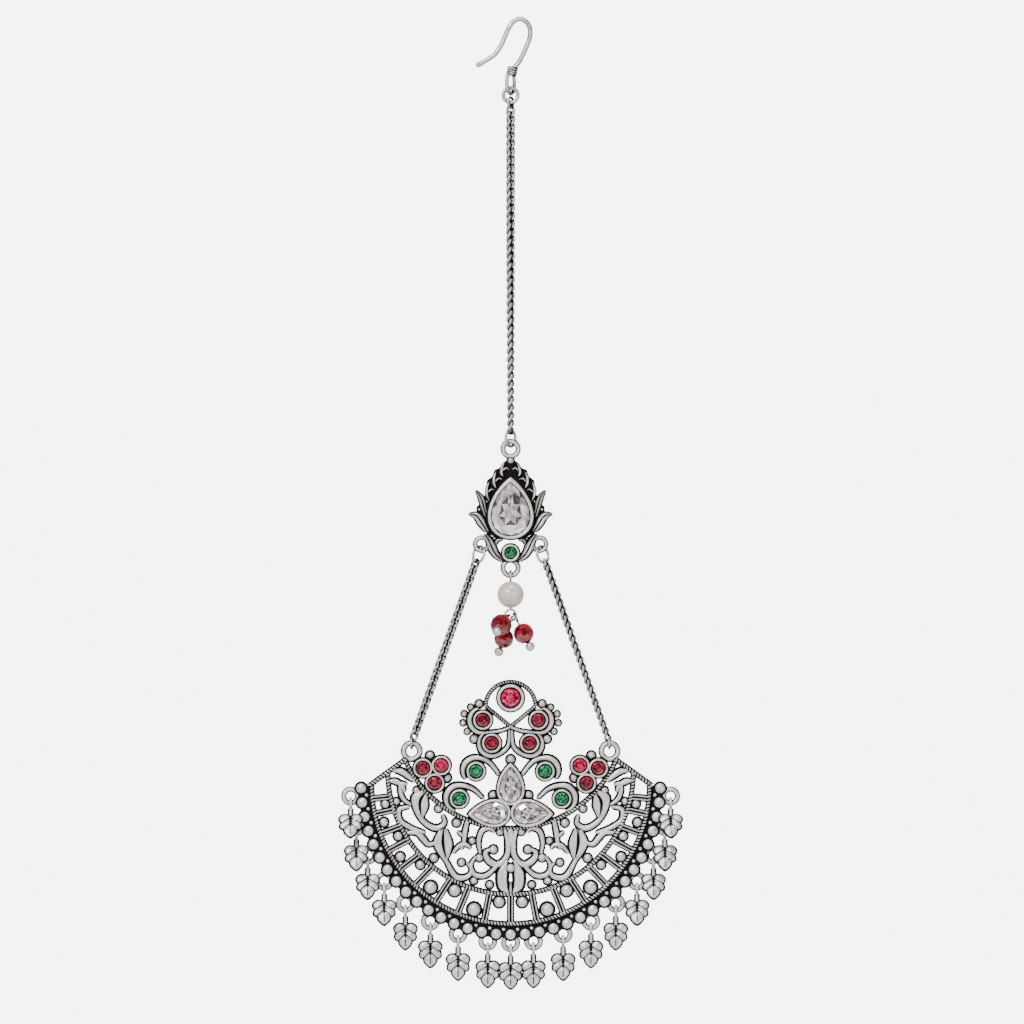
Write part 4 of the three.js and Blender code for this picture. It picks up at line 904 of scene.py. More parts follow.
@dataclass
class Chains:
    """The three curb chains, link through link."""

    wire: float = 0.56
    main_half_width: float = 0.57
    side_half_width: float = 0.54
    main_ends: Flat = (-16.05, -73.15)
    side_gaps: Flat = (1.95, 1.45)
    lap: float = 0.56
    shadow_rod: float = 0.46

    def link(self, half_width: float, half_length: float, wire: float) -> list[Vector]:
        """The middle line of one curb link, which passes in front of its neighbour on one side."""
        lap = wire * self.lap
        return [Vector((half_width * math.sin(t), lap * math.sin(2 * t), half_length * math.cos(t)))
                for t in turns(26)]

    def chain(self, name: str, node: str, start: Vector, end: Vector, half_width: float, pitch: float,
              twist: tuple[float, float], wire: float, finishes: Finishes) -> None:
        """Runs one chain.

        Args:
            name: The piece's name.
            node: The solid that it stands for.
            start: Middle of the first link.
            end: Middle of the last link.
            half_width: Of a link's middle line.
            pitch: Wanted distance from link to link.
            twist: Degrees of turn about the chain at its two ends.
            wire: The wire's diameter.
            finishes: The jewel's materials.
        """
        way = (end - start).normalized()
        steps = round((end - start).length / pitch)
        true_pitch = (end - start).length / steps
        shape = self.link(half_width, true_pitch / 2 + wire * self.lap, wire)
        lie = Vector((0, 0, -1)).rotation_difference(way).to_matrix()
        draft = Draft()
        for i in range(steps + 1):
            share = i / steps
            ease = share * share * (3 - 2 * share)
            turn = lie @ Matrix.Rotation(rad(mix(twist[0], twist[1], ease)), 3, "Z")
            middle = start + way * (i * true_pitch)
            before = len(draft.tones)
            draft.tube([middle + turn @ p for p in shape], [wire / 2], 12, closed=True)
            # links are painted darker towards the chain's middle line, as shade where they cross
            for k in range(before, len(draft.tones)):
                draft.tones[k] = clamp(2.5 - 4 * (draft.points[k] - start).cross(way).length)
        # a black rod along the middle is painted shade in the gaps between the links
        draft.tube([start.lerp(end, i / 40) for i in range(41)], [wire * self.shadow_rod], 8, tone=1.0)
        draft.make(name, UPPER, finishes.chain, nodes=[node])

    def build(self, finishes: Finishes) -> None:
        """Runs the chains.

        Args:
            finishes: The jewel's materials.
        """
        start, end = (Vector((AXIS_X, 0, z)) for z in self.main_ends)
        self.chain("main_chain_links", "main_chain", start, end, self.main_half_width, 1.43, (8, 72),
                   self.wire, finishes)
        for (side, word), twist in zip(SIDES, ((0, 10), (50, 62))):
            ring, link = (Vector((AXIS_X + side * x, 0, z)) for x, z in (SIDE_RING, END_LINK))
            way = (link - ring).normalized()
            start, end = ring + way * self.side_gaps[0], link - way * self.side_gaps[1]
            node = f"side_chain_{word}"
            self.chain(f"{node}_links", node, start, end, self.side_half_width, 1.35, twist, self.wire * 0.95,
                       finishes)


@dataclass
class Settings:
    """Bezels and stones, shared by the medallion and the fan."""

    finishes: Finishes

    def round_bezel(self, draft: Draft, x: float, y: float, stone: float, wall: float, back: float,
                    rim: float) -> None:
        """A turned bezel with a rolled rim."""
        r, outer = stone / 2, stone / 2 + wall
        # the walls and foot are black: oxide at the joints and painted shade on the walls
        draft.lathe(x, y, [
            (0.0, back, 1), (outer + OUTLINE, back, 1), (outer + OUTLINE, rim - 0.95, 1),
            (outer, rim - 0.9, 1), (outer, rim - 0.4, 1), (outer - 0.05, rim - 0.2, 0.9),
            (outer - 0.13, rim - 0.05, 0.25), (mix(r, outer, 0.6), rim, 0),
            (mix(r, outer, 0.38), rim - 0.03, 0.1),
            (mix(r, outer, 0.26), rim - 0.12, 1), (r + 0.02, rim - 0.3, 1), (r - 0.08, rim - 0.7, 1),
            (0.0, rim - 0.9, 1),
        ])

    def pear_bezel(self, draft: Draft, stone: Flat, wall: float, back: float, rim: float,
                   place: Matrix) -> None:
        """A pear bezel with a rolled rim.

        Args:
            draft: The piece that it goes into.
            stone: The stone's width, or its length and width.
            wall: Thickness of its wall.
            back: Depth of its foot.
            rim: Depth of the rim's crest.
            place: Where it lies in the drawing.
        """
        rows = []
        # the walls and foot are black: oxide at the joints and painted shade on the walls
        for grow, depth, tone in (
            (wall + OUTLINE, back, 1), (wall + OUTLINE, rim - 0.95, 1),
            (wall, rim - 0.9, 1), (wall, rim - 0.45, 1),
            (wall * 0.93, rim - 0.22, 0.9), (wall * 0.78, rim - 0.05, 0.2),
            (wall * 0.5, rim, 0), (wall * 0.28, rim - 0.04, 0.1), (wall * 0.12, rim - 0.14, 0.9),
            (0.02, rim - 0.35, 1), (-0.03, rim - 0.8, 1),
        ):
            ring = pear_outline(stone[0] + 2.6 * grow, stone[1] + 2 * grow, 72)
            rows.append([(place @ Vector((x, y, depth)), tone) for x, y in ring])
        draft.rows(rows)

    def round_stone(self, name: str, node: str, body: str, x: float, y: float, stone: float,
                    depths: Sequence[float], finish: bpy.types.Material, slot: str, place: Matrix) -> None:
        """Cuts and sets a round stone; depths are its foot, girdle and table.

        Args:
            name: Its name.
            node: The solid that it stands for.
            body: The body that it rides on.
            x: Its place, to the right.
            y: Its place, up.
            stone: The stone's width, or its length and width.
            depths: Depths of its foot, girdle and table.
            finish: Its material.
            slot: The record's material slot.
            place: Where the drawing goes, in millimetres.
        """

        def outline(share: float, count: int, offset: float) -> list[Flat]:
            """The round outline."""
            reach = stone / 2 * share
            return [(x + reach * math.cos(t), y + reach * math.sin(t)) for t in turns(count, offset)]

        draft = Draft()
        draft.stone(outline, *depths, seed=sum(map(ord, name)))
        draft.make(name, body, finish, slot, [node], place, sharp=1.0)

    def pear_stone(self, name: str, node: str, body: str, stone: Flat, depths: Sequence[float], spot: Matrix,
                   place: Matrix) -> None:
        """Cuts and sets a pear stone; depths are its foot, girdle and table.

        Args:
            name: Its name.
            node: The solid that it stands for.
            body: The body that it rides on.
            stone: The stone's width, or its length and width.
            depths: Depths of its foot, girdle and table.
            spot: Where it lies in the drawing.
            place: Where the drawing goes, in millimetres.
        """

        def outline(share: float, count: int, offset: float) -> list[Flat]:
            """The pear outline, shrinking about the stone's middle."""
            ring = pear_outline(stone[0] * share, stone[1] * share, count, offset)
            return [tuple((spot @ Vector((x, y + stone[0] * 0.09 * (1 - share), 0)))[:2]) for x, y in ring]

        draft = Draft()
        draft.stone(outline, *depths, seed=sum(map(ord, name)))
        draft.make(name, body, self.finishes.clear, "clear_stone", [node], place, sharp=1.0)


@dataclass
class Medallion:
    """The flame-shaped medallion with its pear and green stones."""

    height: float = -89.045
    flame: Flat = (4.75, 10.4)
    back: float = -0.55
    rim: float = 2.25
    stone: Flat = (9.4, 6.9)
    wall: float = 0.72
    green_y: float = -6.61
    bottom_loop_y: float = -9.295
    side_loop: Flat = (5.2, -5.05)

    def build(self, finishes: Finishes) -> None:
        """Makes the medallion's metal and sets its stones.

        Args:
            finishes: The jewel's materials.
        """
        place = upright(self.height)
        draft = Draft()
        half, tall = self.flame
        edge = (
            (0.3, 0.93), (0.42, 0.84), (0.62, 0.8), (0.7, 0.69), (0.9, 0.62), (0.94, 0.48), (1.0, 0.34),
            (0.88, 0.14),
        )
        outline = [(0.0, 1.0), *edge, (0.0, -0.16), *[(-x, y) for x, y in reversed(edge)]]
        draft.rows([[((x * half, y * tall, z), 1.0) for x, y in outline] for z in (self.back, 0.02)])
        webs = (
            ((3.5, 2.7), (4.55, 2.75), (6.15, 1.75), (6.15, 0.6), (5.0, -0.4), (4.7, -2.9), (2.2, -4.1),
             (3.0, -1.0)),
            ((2.0, -4.0), (3.2, -3.7), (4.3, -3.0), (3.6, -5.3), (2.7, -6.4), (2.5, -5.0)),
        )
        blades = (
            ((1.14, 9.72), (1.64, 8.45), (1.66, 7.7), (1.36, 7.1)),
            ((2.64, 8.07), (2.98, 6.95), (3.0, 5.9), (2.56, 4.92)),
            ((3.9, 6.2), (4.3, 5.0), (4.3, 3.95), (3.76, 2.67)),
        )
        curls = (
            ((1.4, 8.2), (0.84, 8.67), (0.24, 8.33)), ((2.8, 6.2), (2.1, 6.8), (1.48, 6.53)),
            ((4.06, 4.3), (3.4, 4.85), (2.83, 4.6)),
        )
        leaves = (
            (((4.3, -0.2), (4.85, 1.7), (5.35, 3.3), (6.3, 4.7)), (0.8, 1.15, 1.1, 0.15)),
            (((4.1, -2.9), (5.2, -1.2), (6.15, 0.05), (7.6, 0.45)), (0.9, 1.6, 1.4, 0.15)),
            (((4.75, -3.2), (3.95, -4.3), (3.35, -5.65), (2.5, -7.05), (1.2, -8.1)),
             (0.5, 1.2, 1.7, 1.3, 0.5)),
        )
        for side in (-1, 1):
            for web in webs:
                draft.rows([[((side * x, y, z), 1.0) for x, y in web] for z in (self.back + 0.05, 0.0)])
            for stops in blades:
                draft.stroke(mirrored(side, stops), (0.15, 0.6, 0.62, 0.12), Profile.RIB, 0.0, 0.7, 0.05)
            for stops in curls:
                draft.stroke(mirrored(side, stops), (0.34, 0.3, 0.14), Profile.RIB, 0.0, 0.6, 0.04)
            for stops, widths in leaves:
                draft.stroke(mirrored(side, stops), widths, Profile.POD, self.back, 0.75)
            draft.stroke(mirrored(side, ((2.6, -5.3), (2.5, -4.5), (1.95, -4.15), (1.35, -4.35))),
                         (0.3, 0.6, 0.6, 0.35), Profile.RIB, self.back, 0.6)
            for x, y in ((4.29, 2.6), (5.64, 1.17), (2.9, -4.0)):
                draft.bead(side * x, y, 0.55, 0.0, 0.45)
            draft.ring(side * self.side_loop[0], self.side_loop[1], 2.95, 1.8, 0, 0.52)
        settings = Settings(finishes)
        settings.pear_bezel(draft, self.stone, self.wall, self.back - 0.05, self.rim, Matrix.Identity(4))
        settings.round_bezel(draft, 0, self.green_y, 1.95, 0.66, self.back - 0.03, 1.69)
        draft.ring(0, tall + 1.7, 3.4, 2.05, 0, 0.52)
        draft.ring(0, self.bottom_loop_y, 3.4, 2.05, 0, 0.52)
        draft.bead(0, tall - 0.42, 1.35, self.back + 0.1, 1.5)
        draft.make("medallion_metal", UPPER, finishes.silver, nodes=["medallion"], place=place)
        settings.pear_stone("medallion_crystal", "medallion_pear", UPPER, self.stone, (0.6, 2.1, 3.05),
                            Matrix.Identity(4), place)
        settings.round_stone("medallion_green_glass", "medallion_green", UPPER, 0, self.green_y, 1.95,
                             (0.5, 1.55, 2.0), finishes.green, "green_stone", place)


@dataclass
class PearlDrop:
    """The pearl on its pin and the three red beads under it."""

    top_eye: float = -99.665
    pearl: float = -103.165
    low_eye: float = -106.865
    eye: float = 0.8
    wide_eye: float = 1.0
    wire: float = 0.4
    bead_growth: float = 1.13

    def ring(self, draft: Draft, middle: Vector, radius: float, turn: Matrix) -> None:
        """Bends one eye."""
        draft.tube(hoop(middle, radius, radius, turn, 32), [self.wire / 2], 10, closed=True, flank=0.7)

    def build(self, finishes: Finishes) -> None:
        """Strings the drop.

        Args:
            finishes: The jewel's materials.
        """
        axis = Vector((AXIS_X, 0, 0))
        down = Vector((0, 0, 1))
        pin = Draft()
        self.ring(pin, axis + down * self.top_eye, self.eye, Matrix.Rotation(rad(90), 3, "Z"))
        self.ring(pin, axis + down * self.low_eye, self.wide_eye, Matrix.Identity(3))
        stem = (self.top_eye - self.eye, self.pearl, self.low_eye + self.wide_eye)
        pin.tube([axis + down * z for z in stem], [self.wire / 2], 10)
        pin.make("pearl_pin_wire", UPPER, finishes.wire, nodes=["pearl_pin"])
        ball = Draft()
        ball.ball(axis + down * self.pearl, 4.8, 0.7, 48)
        ball.make("pearl_ball", UPPER, finishes.pearl, "pearl", ["pearl"])
        beads = (
            (205, (-0.27, -0.86, -0.43), 3.5, 2.95), (270, (-0.35, 0.15, -0.93), 3.2, 3.45),
            (335, (0.44, -0.16, -0.88), 3.3, 3.25),
        )
        for number, (seat, way, size, reach) in enumerate(beads, 1):
            lead = Vector(way).normalized()
            along = Vector((-math.sin(rad(seat)), 0, math.cos(rad(seat))))
            across = (along - lead * along.dot(lead)).normalized()
            up = -lead
            turn = Matrix((across, up.cross(across), up)).transposed()
            middle = axis + Vector((self.wide_eye * math.cos(rad(seat)), 0,
                                    self.low_eye + self.wide_eye * math.sin(rad(seat))))
            wire = Draft()
            self.ring(wire, middle, self.eye, turn @ Matrix.Rotation(rad(90), 3, "Z"))
            foot = reach + size / 2 + 1.0
            wire.tube([middle + lead * d for d in (self.eye, reach, foot)], [self.wire / 2], 8)
            wire.ball(middle + lead * foot, 1.7, sides=24)
            wire.make(f"bead_pin_{number}_wire", UPPER, finishes.wire, nodes=[f"bead_pin_{number}"])
            glass = Draft()
            glass.ball(middle + lead * reach, size * self.bead_growth, 0.6, 12, lead, bands=8)
            # each facet gets a random painted glint
            chance = random.Random(number)
            glass.glints = [chance.random() for _ in glass.glints]
            glass.make(f"red_bead_{number}_glass", UPPER, finishes.red, "red_bead", [f"red_bead_{number}"],
                       sharp=1)


@dataclass
class FanPendant:
    """The pierced fan: milled bands, scrolls, crest, settings and soldered beads."""

    height: float = FAN_HEIGHT
    back: float = -0.55
    band_front: float = 0.75
    scroll_front: float = 0.62
    rim: float = 1.45
    inner: Flat = (20.8, 15.6)
    middle: Flat = (22.1, 5.0)
    outer: Flat = FAN_EDGE
    strip_radius: float = 26.342
    ends: tuple[float, float, float] = (66.25, 89.5, 89.75)
    bar_root: Flat = (18.738, 7.35)
    bar_end: Flat = (25.474, 2.491)
    corner: Flat = (4.5, 16.796)
    crossing: float = 13.096
    arch_top: float = 21.121
    upright_pear_y: float = 1.828
    lying_pear: Flat = (2.843, -2.42)
    pear: Flat = (6.2, 3.9)

    def reach(self, arc: Flat, height: float, turn: float) -> float:
        """How far an arc lies from a point on the middle line along a turned ray.

        Args:
            arc: Radius and height of the arc.
            height: Height of the point.
            turn: Its turn in degrees.

        Returns:
            The distance.
        """
        rise = height - arc[1]
        along = rise * math.cos(rad(turn))
        return along + math.sqrt(along ** 2 - rise ** 2 + arc[0] ** 2)

    def field(self, turn: float, share: float) -> Flat:
        """A place in the scroll field, by turn and share from the inner to the middle arc."""
        far = self.reach(self.middle, self.inner[1], turn)
        return below(self.inner[1], mix(self.inner[0], far, share), turn)

    def window(self, turn: float, share: float) -> Flat:
        """A place among the windows, by turn and share from the middle to the outer arc."""
        near = self.reach(self.middle, self.outer[1], turn)
        return below(self.outer[1], mix(near, self.outer[0], share), turn)

    def above(self, turn: float, lift: float) -> Flat:
        """A place above the inner arc."""
        return below(self.inner[1], self.inner[0] - lift, turn)

    def milled(self, draft: Draft, path: Sequence[Sequence[float]], front: float, width: float = 0.86,
               pitch: float = 0.58) -> None:
        """A milled band along a line that is first divided into even steps.

        Args:
            draft: The piece that it goes into.
            path: Places along the middle line.
            front: Depth of its crest.
            width: Its width.
            pitch: Length of one cut and one tooth.
        """
        line = [Vector((*place[:2], 0)) for place in path]
        spans = [(b - a).length for a, b in zip(line, line[1:])]
        count = round(sum(spans) / pitch) * 4
        even, leg, gone = [], 0, 0.0
        for i in range(count + 1):
            want = min(sum(spans) * i / count, sum(spans) - 1e-6)
            while gone + spans[leg] < want:
                gone += spans[leg]
                leg += 1
            even.append(line[leg].lerp(line[leg + 1], (want - gone) / spans[leg]))
        draft.sweep(even, [width, width], Profile.MILLED, self.back, front, milled=True, blunt=False,
                    outline=0.1)

    def bands(self, finishes: Finishes, place: Matrix) -> None:
        """The arcs, end bars, crest bars, rungs and the strip under the edge beads.

        Args:
            finishes: The jewel's materials.
            place: Where the drawing goes, in millimetres.
        """
        draft = Draft()
        for arc, end in zip((self.inner, self.middle, self.outer), self.ends):
            steps = 240
            self.milled(draft, [below(arc[1], arc[0], mix(-end, end, i / steps)) for i in range(steps + 1)],
                        self.band_front)
        for side in (-1, 1):
            self.milled(draft, mirrored(side, (self.bar_root, self.bar_end)), self.band_front)
            bar = mirrored(side, (self.corner, (0, self.crossing)))
            self.milled(draft, bar, self.band_front - 0.05, 0.68, 0.5)
            for turn in (0, 11, 22.4, 32.6, 43.7, 52.7, 61.8, 69.5, 78, 84.4):
                if turn or side > 0:
                    ends = [self.window(turn, 0.02), self.window(turn, 0.98)]
                    path = [(side * mix(ends[0][0], ends[1][0], k / 8), mix(ends[0][1], ends[1][1], k / 8))
                            for k in range(9)]
                    draft.sweep(path, [1.0, 1.0], Profile.RAILS, self.back, 0.55, blunt=False)
        rise = self.arch_top - self.corner[1]
        arch = [(self.corner[0] * math.cos(t), self.corner[1] + rise * math.sin(t))
                for t in (k / 60 * math.pi for k in range(61))]
        self.milled(draft, arch, self.band_front, 0.7, 0.5)
        end = self.ends[2]
        strip = [below(self.outer[1], self.strip_radius, mix(-end, end, i / 160)) for i in range(161)]
        draft.sweep(strip, [2.2, 2.2], Profile.FLAT, self.back, 0.0, blunt=False)
        draft.make("fan_bands", PENDANT, finishes.silver, nodes=["fan"], place=place)

    def scrollwork(self, finishes: Finishes, place: Matrix) -> None:
        """The scrolls, pods and buds of the field, and the crescent collars.

        Args:
            finishes: The jewel's materials.
            place: Where the drawing goes, in millimetres.
        """
        scrolls = (
            (((64, 0.75), (62, 0.38), (58, 0.16), (54, 0.06)), (0.7, 1.4, 1.3, 0.6)),
            (((61, 1.0), (59, 0.68), (56, 0.5), (53, 0.52)), (0.8, 1.3, 1.0, 0.7)),
            (((47, 0.5), (51, 0.62), (55, 0.62), (57, 0.5), (55, 0.32)), (0.6, 1.0, 1.0, 0.9, 0.7)),
            (((47, 0.55), (49, 0.85), (46, 0.95), (42, 0.84), (35, 0.62)), (0.6, 1.1, 1.2, 1.1, 0.7)),
            (((48, 0.02), (48.5, 0.32), (40, 0.5), (33, 0.42), (31, 0.24), (34, 0.12)),
             (0.6, 1.6, 1.1, 1.3, 1.0, 0.6)),
            (((46, 0.04), (42.5, 0.24), (40, 0.5)), (0.5, 1.4, 0.5)),
            (((41, 0.96), (38, 0.76), (35, 0.74), (32, 0.74), (29, 0.56)), (0.8, 1.2, 1.3, 1.1, 0.6)),
            (((22, -0.02), (21, 0.2), (20, 0.36), (20, 0.5)), (0.9, 1.2, 0.9, 0.6)),
            (((24.5, 0.24), (21, 0.28)), (0.5, 0.9)),
            (((31, 0.38), (29.5, 0.62), (23.5, 0.78), (18, 0.93), (14.6, 0.84), (14, 0.72), (16.5, 0.64)),
             (0.6, 1.6, 0.9, 1.4, 1.1, 0.8, 0.6)),
            (((29.5, 0.3), (25, 0.5), (23.5, 0.76)), (0.5, 1.4, 0.6)),
            (((22.5, 0.62), (21, 0.44), (18.5, 0.38), (16, 0.42)), (0.6, 1.0, 0.9, 0.5)),
            (((12, 0.46), (14, 0.26), (13.5, 0.08), (10, 0.02), (7.5, 0.08)), (0.6, 1.0, 1.2, 1.1, 0.6)),
            (((3, 0.0), (1.2, 0.22), (1.6, 0.42), (5, 0.56), (9, 0.5), (10.2, 0.4), (8.2, 0.34)),
             (0.8, 1.3, 1.2, 1.5, 1.1, 0.7)),
            (((13.6, 0.5), (14.6, 0.66), (12.6, 0.78), (9, 0.76), (5.6, 0.6), (4.4, 0.5)),
             (0.6, 0.9, 1.1, 1.1, 0.9, 0.6)),
            (((1.3, 0.47), (2.9, 0.68), (2.5, 0.88), (0.6, 0.99)), (0.4, 2.3, 2.2, 0.5)),
        )
        pods = (((47, 0.02), (45.6, 0.27), (40, 0.5)), ((30.2, 0.33), (27.3, 0.56), (23.5, 0.77)))
        draft = Draft()
        for side in (-1, 1):
            for index, (line, widths) in enumerate(scrolls):
                stops = mirrored(side, [self.field(*stop) for stop in line])
                draft.stroke(stops, widths, Profile.RIB, self.back, self.scroll_front + 0.02 * (index % 3))
            for pod in pods:
                stops = mirrored(side, [self.field(*stop) for stop in pod])
                draft.stroke(stops, (0.3, 2.6, 3.0, 2.2, 0.6), Profile.POD, self.back,
                             self.scroll_front + 0.15)
            for at, reach, start, end, lead, tail, widths in (
                ((9.217, 0.139), 2.35, -75, 95, (), ((-2.4, 1.8), (-4.5, -0.1)),
                 (0.5, 1.1, 1.6, 1.5, 1.1, 0.6)),
                ((6.21, 5.099), 2.35, -40, 95, (), ((-2.1, 1.8), (-4.5, -1.0)),
                 (0.5, 1.1, 1.5, 1.4, 1.1, 0.7)),
                ((5.0, 14.296), 2.3, -100, 72, ((-5.2, -1.2), (-2.9, -2.0)), (),
                 (0.5, 0.8, 1.0, 1.3, 1.2, 0.6)),
                ((3.4, 10.146), 2.25, 60, -110, (), ((-2.8, -0.7), (-3.2, 2.6)),
                 (0.5, 0.9, 1.3, 1.2, 1.0, 0.6)),
            ):
                stops = [(at[0] + x, at[1] + y) for x, y in lead]
                for k in range(6):
                    t = rad(mix(start, end, k / 5))
                    stops.append((at[0] + reach * math.cos(t), at[1] + reach * math.sin(t)))
                stops += [(at[0] + x, at[1] + y) for x, y in tail]
                draft.stroke(mirrored(side, stops), widths, Profile.RIB, self.back, self.scroll_front + 0.17)
        for low, high, widths in ((0.8, 1.0, (0.3, 0.6, 0.5)), (-0.02, 0.28, (1.6, 1.5, 0.3))):
            stops = [self.field(0, mix(low, high, k / 2)) for k in range(3)]
            draft.stroke(stops, widths, Profile.RIB, self.back, self.scroll_front)
        draft.make("fan_scrolls", PENDANT, finishes.silver, place=place)

    def beads(self, finishes: Finishes, place: Matrix) -> None:
        """Every soldered bead and cast loop.

        Args:
            finishes: The jewel's materials.
            place: Where the drawing goes, in millimetres.
        """
        draft = Draft()
        foot = self.back + 0.1
        field_beads = (
            (50.5, 0.17, 1.5), (52.2, 0.85, 1.5), (37.0, 0.09, 1.6), (26.2, 0.12, 1.8), (16.8, 0.29, 1.5),
            (27.9, 0.87, 1.8), (18.2, 0.68, 1.6), (12.2, 0.51, 1.7), (5.1, 0.06, 1.5), (7.2, 0.34, 1.8),
            (12.4, 0.88, 1.6), (7.0, 0.88, 1.6),
        )
        windows = (
            (2.062, -18.434, 2.3), (6.586, -19.776, 2.8), (10.083, -16.363, 2.5), (14.391, -15.82, 2.7),
            (16.251, -11.727, 1.9), (19.897, -10.322, 2.0), (20.24, -6.581, 1.9), (22.808, -4.113, 1.9),
            (22.532, -0.808, 1.8),
        )
        crest = ((2.8, 3.5), (3.95, 2.3), (4.15, 0.7), (3.4, -0.85))
        upper = (
            (*self.above(62.0, 4.35), 1.8), (*self.above(44.6, 4.4), 1.9),
            (3.15, self.upright_pear_y - 1.1, 1.9), (self.corner[0] + 1.15, self.crossing + 4.1, 1.6),
            (self.corner[0] + 2.05, self.crossing - 2.2, 1.7),
        )
        for side in (-1, 1):
            for turn, share, size in field_beads:
                x, y = self.field(turn, share)
                draft.bead(side * x, y, size, foot, size * 0.5 + 0.35)
            for x, y, size in (*windows, *upper):
                draft.bead(side * x, y, size, foot, max(size * 0.62, 1.2))
            for x, y in crest:
                draft.bead(side * (self.corner[0] + x - 0.1), self.crossing + y, 1.25, foot, 1.15)
            draft.ring(side * END_LINK[0], 8.7, 3.75, 2.15, 0, 0.62)
        for y in (self.upright_pear_y + 5.37, self.field(0, 0.6)[1]):
            draft.bead(0, y, 1.85, foot, 1.5)
        for i in range(-16, 17):
            x, y = below(self.outer[1], 26.9, i * EDGE_STEP)
            draft.bead(x, y, 2.24, -0.25, 1.15)
            if i < 16:
                x, y = below(self.outer[1], 26.0, (i + 0.5) * EDGE_STEP)
                draft.bead(x, y, 0.75, -0.05, 0.42)
        for pair in range(8):
            x, y = fringe_loop(pair)
            for side in (-1, 1):
                draft.ring(side * x, y, 3.2, 1.8, -0.35, 0.5)
        draft.ring(0, self.outer[1] - FRINGE_RADIUS, 3.2, 1.8, -0.35, 0.5)
        draft.make("fan_beads", PENDANT, finishes.silver, place=place)

    def stones(self, finishes: Finishes, place: Matrix) -> None:
        """Every bezel and stone of the fan.

        Args:
            finishes: The jewel's materials.
            place: Where the drawing goes, in millimetres.
        """
        settings = Settings(finishes)
        metal = Draft()
        depths = (0.3, self.rim - 0.12, self.rim + 0.45)
        spots = {"upright": Matrix.Translation((0, self.upright_pear_y, 0))}
        for side, word in SIDES:
            spots[word] = (Matrix.Translation((side * self.lying_pear[0], self.lying_pear[1], 0))
                           @ Matrix.Rotation(rad(side * -92), 4, "Z"))
        for word, spot in spots.items():
            settings.pear_bezel(metal, self.pear, 0.62, self.back, self.rim, spot)
            settings.pear_stone(f"pear_crystal_{word}", f"pear_stone_{word}", PENDANT, self.pear, depths,
                                spot, place)
        settings.round_bezel(metal, 0, 18.296, 3.4, 0.8, self.back, self.rim)
        settings.round_stone("crest_ruby", "crest_stone_top", PENDANT, 0, 18.296, 3.4, depths, finishes.ruby,
                             "red_stone", place)
        table = (
            ("shoulder_stone_outer", 15.782, 5.662, 2.4, finishes.wine, "red_stone"),
            ("shoulder_stone_inner", 12.466, 6.138, 2.4, finishes.ruby, "red_stone"),
            ("shoulder_stone_lower", 13.647, 2.962, 2.4, finishes.wine, "red_stone"),
            ("green_stone_lower", 9.217, 0.139, 2.35, finishes.green, "green_stone"),
            ("green_stone_upper", 6.21, 5.099, 2.35, finishes.green, "green_stone"),
            ("crest_stone_upper", 5.0, 14.296, 2.4, finishes.wine, "red_stone"),
            ("crest_stone_lower", 3.4, 10.146, 2.4, finishes.wine, "red_stone"),
        )
        for name, x, y, size, finish, slot in table:
            for side, word in SIDES:
                settings.round_bezel(metal, side * x, y, size, 0.6, self.back, self.rim)
                settings.round_stone(f"{name}_{word}_glass", f"{name}_{word}", PENDANT, side * x, y, size,
                                     depths, finish, slot, place)
        metal.make("fan_bezels", PENDANT, finishes.silver, place=place)

    def build(self, finishes: Finishes) -> None:
        """Makes the fan.

        Args:
            finishes: The jewel's materials.
        """
        place = upright(self.height)
        self.bands(finishes, place)
        self.scrollwork(finishes, place)
        self.beads(finishes, place)
        self.stones(finishes, place)


